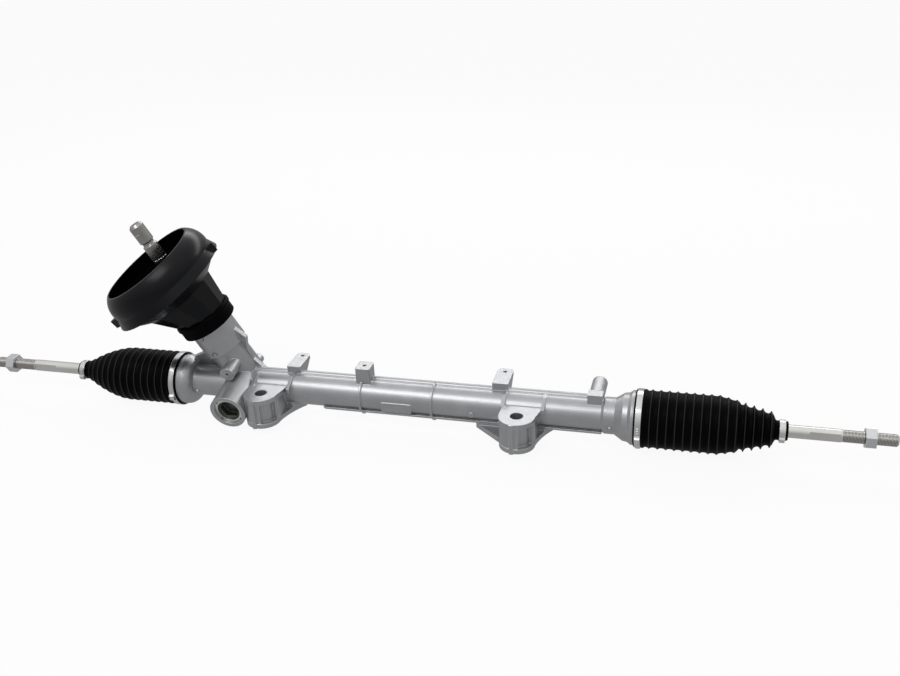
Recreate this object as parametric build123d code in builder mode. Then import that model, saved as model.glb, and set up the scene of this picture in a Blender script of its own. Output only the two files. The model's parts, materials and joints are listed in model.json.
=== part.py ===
from build123d import *
from math import acos, atan, cos, degrees, pi, radians, sin, tan
import os

os.makedirs("parts", exist_ok=True)

# The origin lies between the two mounting bolts, on the lugs' lower faces. X runs along the rack
# away from the pinion, Y points to the back, where the bracket tabs are, and Z is up.

# Rack axis and the housing tube
RACK_Y = 41.0
RACK_Z = 28.0
RACK_MID_X = 5.0
TUBE_RADIUS = 20.0
TUBE_BORE_RADIUS = 15.0
HOUSING_HALF = 308.5
BELL_RADIUS = 33.0
BELL_BORE_RADIUS = 27.0
BELL_DEPTH = 23.5
FAR_NECK_RADIUS = 22.5
FAR_NECK_FROM_END = 46.5
FAR_CONE_FROM_END = 34.5
PINION_DOME_LENGTH = 30.0
RING_RIB_RADIUS = 22.5
RING_RIB_WIDTH = 2.6
RING_RIB_OFFSETS = (-46.0, 48.0)

# Mounting lugs
LUG_SPACING = 332.0
LUG_BORE_RADIUS = 8.0
LUG_RADIUS = 22.0
LUG_BOSS_RADIUS = 21.0
LUG_CORE_RADIUS = 15.5
LUG_HEIGHT = 40.0
LUG_PLATE = 6.0
LUG_WEB = 4.5
LUG_DECK_FLARE = 7.0
LUG_RIDGE_WIDTH = 5.0
LUG_RIDGE_RISE = 2.5
LUG_RIDGE_SHIFT = -3.0
LUG_POCKET_ANGLES = (-75.0, -10.0)
LUG_RIB_RISE = 1.5
FOOT_ROOT_HEIGHT = 13.0
LEFT_FOOT_FLARES = (12.0, 19.0)
RIGHT_FOOT_FLARES = (36.0, 19.0)

# Long back rib, with a stub at its near end and a round boss at its far end
BAR_RADIUS = 4.5
BAR_OFFSET_Y = 7.0
BAR_OFFSET_Z = 18.5
BAR_START = RACK_MID_X - 200.5
BAR_END = RACK_MID_X + 256.5
STUB_RADIUS = 6.5
STUB_LENGTH = 35.0
STUB_X = RACK_MID_X - 208.0
STUB_OFFSET_Z = 18.0
BOSS_RADIUS = 9.5
BOSS_REACH = 43.0
BOSS_X = RACK_MID_X + 250.0
BOSS_OFFSET_Z = 20.0
BOSS_BASE = 18.0

# Bracket tabs and the post between them
TAB_RISE = 30.0
TAB_THICKNESS = 4.5
TAB_CORNER = 5.0
TAB_WEB = 4.0
TAB_HOLE_RADIUS = 2.5
TAB_HOLE_OFFSET_Y = 34.0
TAB_FRONT = 2.5
NEAR_TAB_X = RACK_MID_X - 141.5
NEAR_TAB_SIZE = (18.0, 38.5)
FAR_TAB_X = RACK_MID_X + 132.0
FAR_TAB_SIZE = (20.0, 39.5)
POST_X = RACK_MID_X - 43.5
POST_SIZE = 19.0
POST_RISE = 40.0
POST_HOLE_DEPTH = 14.0

# Sensor port, label pad and parting ledge
PORT_RADIUS = 9.5
PORT_REACH = 26.0
PORT_HEIGHT = 35.0
PORT_SHIFT = -7.0
PORT_HOLE_RADIUS = 2.0
PORT_HOLE_DEPTH = 12.0
PAD_X = RACK_MID_X + 2.5
PAD_WIDTH = 39.0
PAD_HEIGHT = 13.0
PAD_RISE = 1.0
NUB_X = RACK_MID_X + 99.5
NUB_RADIUS = 3.2
LEDGE_START = RACK_MID_X - 97.5

# Rack bar, its travel and its teeth
TRAVEL = 72.0
RACK_RADIUS = 12.0
MODULE = 1.8
PRESSURE_ANGLE = 20.0
RACK_TEETH = 31
RACK_TIP_HEIGHT = 9.0
DEDENDUM_RATIO = 1.25
BACKLASH = 0.3

# Pinion: it leans towards the near end of the rack and towards the front
PINION_FROM_END = 96.0
CROSSING = 24.0
TILT = 11.0
PINION_TEETH = 8
PROFILE_SHIFT = 0.5
PINION_FACE = 32.0
TEETH_SECTIONS = 9
JOURNAL_RADIUS = 6.0
SHOULDER_RADIUS = 12.0
INPUT_RADIUS = 9.3
INPUT_TIP = 251.0
INPUT_CHAMFER = 3.0
SERRATION_FROM_TIP = 39.0
SERRATION_LENGTH = 12.0
SERRATION_WIDTH = 1.4
SERRATION_COUNT = 18
SERRATION_DEPTH = 0.7
PINCH_GROOVE_DEPTH = 1.8
PINCH_GROOVE_WIDTH = 6.0
PINCH_GROOVE_FROM_TIP = 28.0
FLAT_FROM_TIP = 3.0
FLAT_LENGTH = 9.0
FLAT_DEPTH = 0.9

# Ball bearing of the pinion
BEARING_BORE_RADIUS = 10.0
BEARING_RADIUS = 18.5
BEARING_WIDTH = 9.0
BEARING_START = 24.0
BALL_RADIUS = 2.6
BALL_COUNT = 7
RING_WALL = 2.4
CAGE_WALL = 1.0
BALL_CLEARANCE = 0.04

# Needle bearing at the pinion's foot
NEEDLE_RADIUS = 1.0
NEEDLE_COUNT = 14
NEEDLE_LENGTH = 10.0
NEEDLE_CUP_WALL = 1.2
NEEDLE_CUP_START = -33.0
NEEDLE_CUP_LENGTH = 13.0

# Pinion tower
TOWER_RADIUS = 29.0
TOWER_STEP = 60.0
TOWER_TOP = 100.0
LOWER_TOWER_RADIUS = 24.0
LOWER_TOWER_DEPTH = 20.0
TOWER_FOOT = -38.0
TOWER_FOOT_RADIUS = 16.0
GUSSET_REACH = -61.0
GUSSET_HALF = 3.0
TOWER_CHAMBER_RADIUS = 19.2
GEAR_CHAMBER_RADIUS = 13.5
SEAL_RADIUS = 20.0
SEAL_WIDTH = 8.0
SEAL_DEPTH = 4.0
SNAP_RING_WIDTH = 1.6
SNAP_RING_REACH = 1.4

# Rack bush at the far end, held by a snap ring
BUSH_LENGTH = 22.0
BUSH_STOP_GAP = 2.0

# Yoke boss and what presses the rack against the pinion
YOKE_BOSS_RADIUS = 24.0
YOKE_BOSS_LENGTH = 59.0
YOKE_RADIUS = 17.0
YOKE_LENGTH = 22.0
YOKE_END = 30.0
YOKE_THREAD_RADIUS = 19.0
LINER_WALL = 1.0
YOKE_SPRING_RADIUS = 9.0
YOKE_WIRE = 3.0
YOKE_SPRING_TURNS = 3
O_RING_RADIUS = 1.3
PLUG_LENGTH = 16.0
PLUG_RECESS = 7.0
PLUG_SOCKET_FLATS = 24.0
PLUG_SOCKET_DEPTH = 8.0
LOCK_RING_WIDTH = 4.0
LOCK_RING_BORE_RADIUS = 15.0

# Inner ball joints and tie rods
JOINT_STOP_GAP = 0.5
CUP_RADIUS = 18.0
CUP_LENGTH = 43.0
BALL_CENTRE = 27.5
JOINT_BALL_RADIUS = 11.5
SEAT_WALL = 2.5
SEAT_BACK = 8.0
SEAT_FRONT = 5.5
CUP_MOUTH_RADIUS = 8.0
CUP_THREAD_RADIUS = 7.0
CUP_THREAD_LENGTH = 22.0
WASHER_WIDTH = 2.0
TIE_ROD_HALF = 592.0
TIE_ROD_RADIUS = 7.7
TIE_THREAD_RADIUS = 7.0
TIE_THREAD_LENGTH = 60.0
TIE_TIP_CHAMFER = 1.5
ENGAGED_THREAD_RADIUS = 6.51
THREAD_RUNOUT = 0.5
WRENCH_FLATS = 12.0
WRENCH_LENGTH = 34.0
NUT_FLATS = 22.0
NUT_LENGTH = 12.0
LEFT_NUT_FROM_TIP = 18.0
RIGHT_NUT_FROM_TIP = 24.0

# Boots and their clamps
BOOT_CREST_RADIUS = 33.8
BOOT_RIDGE_DEPTH = 3.5
BOOT_TAPER_LENGTH = 66.0
BOOT_TAPER_POWER = 1.6
LEFT_BOOT_END_RADIUS = 10.5
RIGHT_BOOT_END_RADIUS = 16.3
BOOT_WALL = 1.6
BOOT_SLEEVE_LENGTH = 13.0
BOOT_SLEEVE_WALL = 3.5
BOOT_SEAT_RADIUS = 31.5
BOOT_SEAT_LENGTH = 11.0
BOOT_BEAD_RADIUS = 35.0
LEFT_BOOT_LENGTH = 148.0
RIGHT_BOOT_LENGTH = 162.0
LEFT_BOOT_RIDGES = 15
RIGHT_BOOT_RIDGES = 14
BAND_WIDTH = 7.0
BAND_WALL = 1.0
EAR_LENGTH = 11.0
EAR_HEIGHT = 4.5
CLAMP_EAR_ANGLE = 20.0

# Dash seal: a collar on the tower, and a bell that leans away from the shaft. The bell's depths are
# measured down from its rim.
COLLAR_RADIUS = 37.0
COLLAR_BEAD = 1.5
COLLAR_START = 92.0
COLLAR_LENGTH = 19.0
COLLAR_LIP = 3.4
BELL_HEIGHT = 200.5
BELL_OUT = 21.0
BELL_FORWARD = 3.0
BELL_LEAN_OUT = 7.1
BELL_LEAN_FORWARD = 2.9
SEAL_OPENING_RADIUS = 65.0
SEAL_SHOULDER_DEPTH = 8.0
SEAL_SHOULDER_RADIUS = 72.0
SEAL_CREASE_DEPTH = 28.0
SEAL_CREASE_RADIUS = 75.5
SEAL_LIP_DEPTH = 40.0
SEAL_LIP_RADIUS = 80.0
SEAL_THROAT_DEPTH = 57.0
SEAL_THROAT_RADIUS = 50.0
SEAL_NECK_RADIUS = 35.5
SEAL_WALL = 2.5
SEAL_EARS = ((-150.5, 87.3), (17.4, 83.8))
SEAL_EAR_HALF = 20.0

# Small gaps
SLIDE_FIT = 0.05
FIT = 0.02
SOFT_GAP = 0.3

# Directions: along the pinion, across it in the leaning plane, and from the rack to the pinion
LEAN = radians(CROSSING)
FORWARD = radians(TILT)
ALONG_RACK = Vector(1, 0, 0)
TO_PINION = Vector(0, cos(FORWARD), sin(FORWARD))
ACROSS_TEETH = Vector(0, -sin(FORWARD), cos(FORWARD))
PINION_UP = ACROSS_TEETH * cos(LEAN) - ALONG_RACK * sin(LEAN)
PINION_ACROSS = ALONG_RACK * cos(LEAN) + ACROSS_TEETH * sin(LEAN)

# Tooth sizes. The rack teeth stand square to the rack, so the pinion's helix equals the crossing angle.
RACK_PITCH = pi * MODULE
PITCH_RADIUS = PINION_TEETH * MODULE / cos(LEAN) / 2
RACK_PITCH_HEIGHT = RACK_TIP_HEIGHT - MODULE
RACK_ROOT_HEIGHT = RACK_PITCH_HEIGHT - DEDENDUM_RATIO * MODULE
CENTRE_DISTANCE = RACK_PITCH_HEIGHT + PROFILE_SHIFT * MODULE + PITCH_RADIUS
GEAR_TIP_RADIUS = PITCH_RADIUS + (1 + PROFILE_SHIFT) * MODULE
GEAR_ROOT_RADIUS = PITCH_RADIUS - (DEDENDUM_RATIO - PROFILE_SHIFT) * MODULE
HELIX_TURN = degrees(tan(LEAN) / PITCH_RADIUS)

PINION_X = RACK_MID_X - HOUSING_HALF + PINION_FROM_END
YOKE_ORIGIN = Vector(PINION_X, RACK_Y, RACK_Z)
PINION_ORIGIN = YOKE_ORIGIN + TO_PINION * CENTRE_DISTANCE

# Seats that two pieces share
NEEDLE_BORE = JOURNAL_RADIUS + 2 * NEEDLE_RADIUS + NEEDLE_CUP_WALL
NEEDLE_CUP_END = NEEDLE_CUP_START + NEEDLE_CUP_LENGTH
BUSH_END = HOUSING_HALF - BELL_DEPTH - SNAP_RING_WIDTH - BUSH_STOP_GAP
BUSH_START = BUSH_END - BUSH_LENGTH
BUSH_RING_RADIUS = TUBE_BORE_RADIUS + SNAP_RING_REACH


def side_plane(side):
    origin = (RACK_MID_X, RACK_Y, RACK_Z)
    return Plane(origin=origin, x_dir=(side, 0, 0), z_dir=(0, -side, 0))


def pinion_plane(height):
    return Plane(origin=PINION_ORIGIN + PINION_UP * height, x_dir=PINION_ACROSS, z_dir=PINION_UP)


def yoke_plane(distance):
    return Plane(origin=YOKE_ORIGIN - TO_PINION * distance, x_dir=ALONG_RACK, z_dir=-TO_PINION)


def rack_plane(x):
    return Plane(origin=(x, RACK_Y, RACK_Z), x_dir=(0, 1, 0), z_dir=(1, 0, 0))


RACK_PROFILE = Plane(origin=(0, RACK_Y, RACK_Z), x_dir=(1, 0, 0), z_dir=(0, -1, 0))
PINION_PROFILE = Plane(origin=PINION_ORIGIN, x_dir=PINION_UP, z_dir=TO_PINION)
YOKE_PROFILE = Plane(origin=YOKE_ORIGIN, x_dir=-TO_PINION, z_dir=ALONG_RACK)
TOOTH_PROFILE = Plane(origin=YOKE_ORIGIN, x_dir=ALONG_RACK, z_dir=ACROSS_TEETH)


def turn(outline, plane, mode=Mode.ADD):
    with BuildSketch(plane) as half_section:
        with BuildLine():
            Polyline(*outline, close=True)
        make_face()
    revolve(half_section.sketch, axis=Axis(plane.origin, plane.x_dir), mode=mode)


def tube(plane, start, end, outer, inner=0.0, mode=Mode.ADD):
    turn([(start, inner), (end, inner), (end, outer), (start, outer)], plane, mode)


def keep(builder, label):
    builder.part.label = label
    export_step(builder.part, f"parts/{label}.step")


def on_side(side, name):
    return ("left_" if side < 0 else "right_") + name


# ---------------------------------------------------------------- rack housing
STOP_FACE = HOUSING_HALF - BELL_DEPTH
FAR_NECK_START = HOUSING_HALF - FAR_NECK_FROM_END
FAR_CONE_START = HOUSING_HALF - FAR_CONE_FROM_END
NEAR_SIDE = side_plane(-1)
FAR_SIDE = side_plane(1)
TUBE_TOP = RACK_Z + TUBE_RADIUS
TUBE_FRONT = RACK_Y - TUBE_RADIUS
TAB_TOP = RACK_Z + TAB_RISE
POST_TOP = RACK_Z + POST_RISE
NEAR_LUG_X = -LUG_SPACING / 2
FAR_LUG_X = LUG_SPACING / 2


def far_end():
    turn(
        [
            (FAR_NECK_START - 4, 0),
            (FAR_NECK_START - 4, TUBE_RADIUS),
            (FAR_NECK_START, FAR_NECK_RADIUS),
            (FAR_CONE_START, FAR_NECK_RADIUS),
            (FAR_CONE_START + 10, BELL_RADIUS - 4),
            (FAR_CONE_START + 16, BELL_RADIUS - 3),
            (FAR_CONE_START + 20, BELL_RADIUS),
            (HOUSING_HALF - BOOT_SEAT_LENGTH, BELL_RADIUS),
            (HOUSING_HALF - BOOT_SEAT_LENGTH, BOOT_SEAT_RADIUS),
            (HOUSING_HALF, BOOT_SEAT_RADIUS),
            (HOUSING_HALF, 0),
        ],
        FAR_SIDE,
    )


def near_end():
    dome_start = HOUSING_HALF - PINION_DOME_LENGTH
    shoulder = HOUSING_HALF - BOOT_SEAT_LENGTH
    dome_rise = BELL_RADIUS - TUBE_RADIUS
    with BuildSketch(NEAR_SIDE) as half_section:
        with BuildLine():
            Line((dome_start, 0), (dome_start, TUBE_RADIUS))
            RadiusArc((dome_start, TUBE_RADIUS), (dome_start + dome_rise, BELL_RADIUS), dome_rise + 1)
            Polyline(
                (dome_start + dome_rise, BELL_RADIUS),
                (shoulder, BELL_RADIUS),
                (shoulder, BOOT_SEAT_RADIUS),
                (HOUSING_HALF, BOOT_SEAT_RADIUS),
                (HOUSING_HALF, 0),
                (dome_start, 0),
            )
        make_face()
    revolve(half_section.sketch, axis=Axis(NEAR_SIDE.origin, NEAR_SIDE.x_dir))


def lug_deck(x):
    # The deck narrows from the tube to the round end over the bolt.
    back = RACK_Y - TUBE_RADIUS / 2
    with BuildSketch(Plane.XY.offset(LUG_HEIGHT - LUG_PLATE)) as deck:
        with Locations((x, 0)):
            Circle(LUG_RADIUS)
        with BuildLine():
            Polyline(
                (x - LUG_RADIUS, 0),
                (x + LUG_RADIUS, 0),
                (x + LUG_RADIUS + LUG_DECK_FLARE, back),
                (x - LUG_RADIUS + LUG_DECK_FLARE / 2, back),
                close=True,
            )
        make_face()
    extrude(deck.sketch, amount=LUG_PLATE)


def lug_foot(x, flares):
    # The foot is a round flange that sweeps out on both sides, and its root rises into the tube.
    left = x - LUG_RADIUS - flares[0]
    right = x + LUG_RADIUS + flares[1]
    back = RACK_Y + 5
    with BuildSketch(Plane.XY) as foot:
        with Locations((x, 0)):
            Circle(LUG_RADIUS)
        with BuildLine():
            Line((x - LUG_RADIUS, 0), (left, TUBE_FRONT + 10))
            Polyline((left, TUBE_FRONT + 10), (left, back), (right, back))
            Spline((right, back), (x + LUG_RADIUS + 5, RACK_Y / 2), (x + LUG_RADIUS - 1, -5))
            Line((x + LUG_RADIUS - 1, -5), (x - LUG_RADIUS, 0))
        make_face()
    extrude(foot.sketch, amount=LUG_PLATE)
    with BuildSketch(Plane.XY) as root:
        add(foot.sketch)
        with Locations((x, TUBE_FRONT + 6)):
            Rectangle(2 * LUG_SPACING, LUG_SPACING, align=(Align.CENTER, Align.MAX), mode=Mode.SUBTRACT)
    extrude(root.sketch, amount=FOOT_ROOT_HEIGHT)


def lug_boss(x):
    # The boss has a ridge in front, a pocket beside it, and three webs to the tube behind it.
    back = RACK_Y - TUBE_RADIUS / 2
    reach = 2 * LUG_RADIUS
    from_angle, to_angle = [radians(angle) for angle in LUG_POCKET_ANGLES]
    pocket_start = (reach * cos(from_angle), reach * sin(from_angle))
    pocket_end = (reach * cos(to_angle), reach * sin(to_angle))
    with BuildSketch(Plane.XY) as boss:
        with Locations((x, 0)):
            Circle(LUG_BOSS_RADIUS)
            Polygon((0, 0), pocket_start, pocket_end, align=None, mode=Mode.SUBTRACT)
            Circle(LUG_CORE_RADIUS)
        with Locations((x + LUG_RIDGE_SHIFT, -LUG_BOSS_RADIUS)):
            Rectangle(LUG_RIDGE_WIDTH, 2 * LUG_RIDGE_RISE)
        for offset in (LUG_WEB / 2 - LUG_RADIUS, 0, LUG_RADIUS - LUG_WEB / 2):
            with Locations((x + offset, back)):
                Rectangle(LUG_WEB, back, align=(Align.CENTER, Align.MAX))
    extrude(boss.sketch, amount=LUG_HEIGHT)


def lug_rib(x, width, front, back):
    # A rib runs from the deck up over the shoulder of the tube.
    with BuildSketch(Plane.YZ.offset(x)) as rib:
        with BuildLine():
            Polyline(
                (front, LUG_HEIGHT - LUG_PLATE),
                (front, LUG_HEIGHT),
                (RACK_Y - 8, TUBE_TOP + LUG_RIB_RISE - 0.5),
                (min(back, RACK_Y + 2), TUBE_TOP + LUG_RIB_RISE),
                (back, TUBE_TOP - 3),
                (RACK_Y, RACK_Z),
                close=True,
            )
        make_face()
    extrude(rib.sketch, amount=width)


def tab(x, size):
    # A bracket tab: a flat plate behind the tube, carried by a web along its far edge and a stem.
    width, depth = size
    front = RACK_Y + TAB_FRONT
    back = front + depth
    with BuildSketch(Plane.XY.offset(TAB_TOP - TAB_THICKNESS)) as plate:
        with Locations((x, front)):
            Rectangle(width, depth, align=(Align.CENTER, Align.MIN))
        fillet(plate.vertices().group_by(Axis.Y)[-1], TAB_CORNER)
        with Locations((x, RACK_Y + TAB_HOLE_OFFSET_Y)):
            Circle(TAB_HOLE_RADIUS, mode=Mode.SUBTRACT)
    extrude(plate.sketch, amount=TAB_THICKNESS)
    with BuildSketch(Plane.YZ.offset(x + width / 2 - TAB_WEB)) as web:
        with BuildLine():
            Polyline(
                (front, TAB_TOP - 1),
                (back - TAB_CORNER, TAB_TOP - 1),
                (back - TAB_CORNER, TAB_TOP - TAB_THICKNESS),
                (RACK_Y + TUBE_RADIUS - 4, RACK_Z + 8),
                (front, RACK_Z + 10),
                close=True,
            )
        make_face()
    extrude(web.sketch, amount=TAB_WEB)
    with BuildSketch(Plane.YZ.offset(x - width / 2)) as stem:
        with BuildLine():
            Polyline(
                (front, TAB_TOP - 1),
                (front + 12, TAB_TOP - 1),
                (front + 8, RACK_Z + 12),
                (front, RACK_Z + 12),
                close=True,
            )
        make_face()
    extrude(stem.sketch, amount=width)


def post():
    with BuildSketch(Plane.XY.offset(RACK_Z + 12)) as block:
        with Locations((POST_X, RACK_Y + TAB_FRONT)):
            RectangleRounded(POST_SIZE, POST_SIZE + 2, 2)
    extrude(block.sketch, amount=POST_TOP - RACK_Z - 12)
    with BuildSketch(Plane.XY.offset(POST_TOP)) as hole:
        with Locations((POST_X, RACK_Y + TAB_FRONT)):
            Circle(TAB_HOLE_RADIUS)
    extrude(hole.sketch, amount=-POST_HOLE_DEPTH, mode=Mode.SUBTRACT)


def gussets():
    # One web on each side of the tower: the near one reaches the dome, the far one the tube.
    with BuildSketch(Plane(origin=PINION_ORIGIN, x_dir=PINION_ACROSS, z_dir=-TO_PINION)) as webs:
        with BuildLine():
            Polyline(
                (0, TOWER_STEP + 14),
                (TOWER_RADIUS, TOWER_STEP + 14),
                (TOWER_RADIUS + 7.7, TOWER_STEP - 3),
                (LOWER_TOWER_RADIUS + 3.5, TOWER_STEP - 17),
                (LOWER_TOWER_RADIUS + 1, TUBE_RADIUS + 4),
                (LOWER_TOWER_RADIUS + 8, 0),
                (0, 0),
                close=True,
            )
        make_face()
        with BuildLine():
            Polyline(
                (0, TOWER_STEP - 2),
                (GUSSET_REACH + 6.5, TOWER_STEP - 4.5),
                (GUSSET_REACH, TOWER_STEP - 18),
                (GUSSET_REACH + 1, TUBE_RADIUS + 5),
                (0, 0),
                close=True,
            )
        make_face()
    extrude(webs.sketch, amount=GUSSET_HALF, both=True)


def back_rib():
    with BuildSketch(Plane.YZ.offset(BAR_START)) as bar:
        with Locations((RACK_Y + BAR_OFFSET_Y, RACK_Z + BAR_OFFSET_Z)):
            Circle(BAR_RADIUS)
    extrude(bar.sketch, amount=BAR_END - BAR_START)
    with BuildSketch(Plane.XZ.offset(-RACK_Y - 5)) as stub:
        with Locations((STUB_X, RACK_Z + STUB_OFFSET_Z)):
            Circle(STUB_RADIUS)
    extrude(stub.sketch, amount=-STUB_LENGTH)
    with BuildSketch(Plane.XZ.offset(-RACK_Y - 5)) as boss:
        with Locations((BOSS_X, RACK_Z + BOSS_OFFSET_Z)):
            Circle(BOSS_RADIUS)
    extrude(boss.sketch, amount=5 - BOSS_REACH)
    with BuildSketch(Plane.XZ.offset(9 - RACK_Y)) as base:
        with Locations((BOSS_X, RACK_Z + BOSS_OFFSET_Z)):
            Rectangle(BOSS_BASE, 2 * BOSS_RADIUS + 2)
    extrude(base.sketch, amount=-14)


def ring_ribs():
    for offset in RING_RIB_OFFSETS:
        start = RACK_MID_X + offset - RING_RIB_WIDTH / 2
        tube(RACK_PROFILE, start, start + RING_RIB_WIDTH, RING_RIB_RADIUS)
        with BuildSketch(Plane.YZ.offset(start - 1)) as nub:
            with Locations((RACK_Y - 6, RACK_Z - RING_RIB_RADIUS + 1)):
                Rectangle(6, 5)
        extrude(nub.sketch, amount=RING_RIB_WIDTH + 2)


def ledge_and_pads():
    with BuildSketch(Plane.YZ.offset(LEDGE_START)) as ledge:
        with BuildLine():
            Polyline(
                (TUBE_FRONT + 4, RACK_Z - 14.5),
                (TUBE_FRONT + 2.5, RACK_Z - 14.5),
                (TUBE_FRONT + 8, RACK_Z - TUBE_RADIUS - 0.5),
                (TUBE_FRONT + 14, RACK_Z - TUBE_RADIUS + 3),
                close=True,
            )
        make_face()
    extrude(ledge.sketch, amount=RACK_MID_X + FAR_NECK_START - 3 - LEDGE_START)
    with BuildSketch(Plane.XZ.offset(PAD_RISE - TUBE_FRONT)) as pads:
        with Locations((PAD_X, RACK_Z - 5)):
            Rectangle(PAD_WIDTH, PAD_HEIGHT)
        with Locations((NUB_X, RACK_Z - 5)):
            Circle(NUB_RADIUS)
    extrude(pads.sketch, amount=-8)


def tower_bores():
    ring_start = BEARING_START + BEARING_WIDTH
    ring_end = ring_start + SNAP_RING_WIDTH
    seal_floor = TOWER_TOP - SEAL_DEPTH - SEAL_WIDTH
    turn(
        [
            (NEEDLE_CUP_START, 0),
            (NEEDLE_CUP_START, NEEDLE_BORE),
            (NEEDLE_CUP_END, NEEDLE_BORE),
            (NEEDLE_CUP_END, GEAR_CHAMBER_RADIUS),
            (BEARING_START, GEAR_CHAMBER_RADIUS),
            (BEARING_START, BEARING_RADIUS),
            (ring_start, BEARING_RADIUS),
            (ring_start, BEARING_RADIUS + SNAP_RING_REACH),
            (ring_end, BEARING_RADIUS + SNAP_RING_REACH),
            (ring_end, BEARING_RADIUS),
            (ring_end + 2.4, BEARING_RADIUS),
            (ring_end + 2.4, TOWER_CHAMBER_RADIUS),
            (seal_floor, TOWER_CHAMBER_RADIUS),
            (seal_floor, SEAL_RADIUS),
            (TOWER_TOP, SEAL_RADIUS),
            (TOWER_TOP, 0),
        ],
        PINION_PROFILE,
        Mode.SUBTRACT,
    )


def yoke_bore():
    turn(
        [
            (0, 0),
            (0, YOKE_RADIUS),
            (YOKE_END + 2, YOKE_RADIUS),
            (YOKE_END + 2, YOKE_THREAD_RADIUS),
            (YOKE_BOSS_LENGTH, YOKE_THREAD_RADIUS),
            (YOKE_BOSS_LENGTH, 0),
        ],
        YOKE_PROFILE,
        Mode.SUBTRACT,
    )


with BuildPart() as rack_housing:
    # Tube with its two ends, pinion tower and yoke boss
    tube(RACK_PROFILE, RACK_MID_X - HOUSING_HALF + 20, RACK_MID_X + HOUSING_HALF - 20, TUBE_RADIUS)
    near_end()
    far_end()
    tube(PINION_PROFILE, TOWER_FOOT, 2 - LOWER_TOWER_DEPTH, TOWER_FOOT_RADIUS)
    tube(PINION_PROFILE, -LOWER_TOWER_DEPTH, TOWER_STEP, LOWER_TOWER_RADIUS)
    tube(PINION_PROFILE, TOWER_STEP - 4, TOWER_TOP, TOWER_RADIUS)
    tube(YOKE_PROFILE, 0, YOKE_BOSS_LENGTH, YOKE_BOSS_RADIUS)
    gussets()
    # Ribs, bosses, tabs and post on the tube
    ring_ribs()
    back_rib()
    tab(NEAR_TAB_X, NEAR_TAB_SIZE)
    tab(FAR_TAB_X, FAR_TAB_SIZE)
    post()
    ledge_and_pads()
    with BuildSketch(yoke_plane(0)) as port:
        with Locations((PORT_SHIFT, PORT_HEIGHT)):
            Circle(PORT_RADIUS)
    extrude(port.sketch, amount=PORT_REACH)
    # Mounting lugs
    for lug_x, flares in ((NEAR_LUG_X, LEFT_FOOT_FLARES), (FAR_LUG_X, RIGHT_FOOT_FLARES)):
        lug_foot(lug_x, flares)
        lug_boss(lug_x)
        lug_deck(lug_x)
    lug_rib(NEAR_LUG_X - LUG_RADIUS, 5, TUBE_FRONT - 5, RACK_Y - 2)
    lug_rib(NEAR_LUG_X + LUG_RADIUS + 6, 4, TUBE_FRONT - 6, RACK_Y + 3)
    lug_rib(FAR_LUG_X - LUG_RADIUS - 2, 5, TUBE_FRONT - 2, RACK_Y + 12)
    lug_rib(FAR_LUG_X + LUG_RADIUS + 4, 4, TUBE_FRONT - 3, RACK_Y + 10)

    # Bores
    tube(FAR_SIDE, -STOP_FACE, STOP_FACE, TUBE_BORE_RADIUS, mode=Mode.SUBTRACT)
    for side in (-1, 1):
        tube(side_plane(side), STOP_FACE, HOUSING_HALF, BELL_BORE_RADIUS, mode=Mode.SUBTRACT)
    tube(FAR_SIDE, BUSH_END, BUSH_END + SNAP_RING_WIDTH, BUSH_RING_RADIUS, mode=Mode.SUBTRACT)
    tower_bores()
    yoke_bore()
    with BuildSketch(Plane.XY) as bolt_holes:
        with Locations((NEAR_LUG_X, 0), (FAR_LUG_X, 0)):
            Circle(LUG_BORE_RADIUS)
    extrude(bolt_holes.sketch, amount=LUG_HEIGHT, mode=Mode.SUBTRACT)
    with BuildSketch(yoke_plane(PORT_REACH)) as port_hole:
        with Locations((PORT_SHIFT, PORT_HEIGHT)):
            Circle(PORT_HOLE_RADIUS)
    extrude(port_hole.sketch, amount=-PORT_HOLE_DEPTH, mode=Mode.SUBTRACT)
keep(rack_housing, "rack_housing")

# ---------------------------------------------------------------- yoke pack
SADDLE_RADIUS = RACK_RADIUS + SLIDE_FIT + LINER_WALL
PLUG_START = YOKE_BOSS_LENGTH - PLUG_RECESS - PLUG_LENGTH
SPRING_SEAT = YOKE_END - 10
SPRING_POCKET_RADIUS = YOKE_SPRING_RADIUS + YOKE_WIRE / 2 + 0.8
PLUG_POCKET_DEPTH = 4.0


def across_rack(radius, mode):
    with BuildSketch(rack_plane(PINION_X - YOKE_RADIUS - 1)) as bar:
        Circle(radius)
    extrude(bar.sketch, amount=2 * YOKE_RADIUS + 2, mode=mode)


with BuildPart() as support_yoke:
    tube(YOKE_PROFILE, YOKE_END - YOKE_LENGTH, YOKE_END, YOKE_RADIUS - SLIDE_FIT)
    across_rack(SADDLE_RADIUS, Mode.SUBTRACT)
    tube(YOKE_PROFILE, SPRING_SEAT, YOKE_END, SPRING_POCKET_RADIUS, mode=Mode.SUBTRACT)
    groove = YOKE_END - 5
    groove_radius = YOKE_RADIUS - 2 * O_RING_RADIUS
    tube(YOKE_PROFILE, groove, groove + 3, YOKE_RADIUS, groove_radius, mode=Mode.SUBTRACT)
keep(support_yoke, "support_yoke")

with BuildPart() as yoke_liner:
    tube(YOKE_PROFILE, YOKE_END - YOKE_LENGTH, SPRING_SEAT, YOKE_RADIUS - SLIDE_FIT)
    with BuildSketch(rack_plane(PINION_X - YOKE_RADIUS)) as shell:
        Circle(SADDLE_RADIUS - FIT)
        Circle(RACK_RADIUS + SLIDE_FIT, mode=Mode.SUBTRACT)
    extrude(shell.sketch, amount=2 * YOKE_RADIUS, mode=Mode.INTERSECT)
keep(yoke_liner, "yoke_liner")

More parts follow.
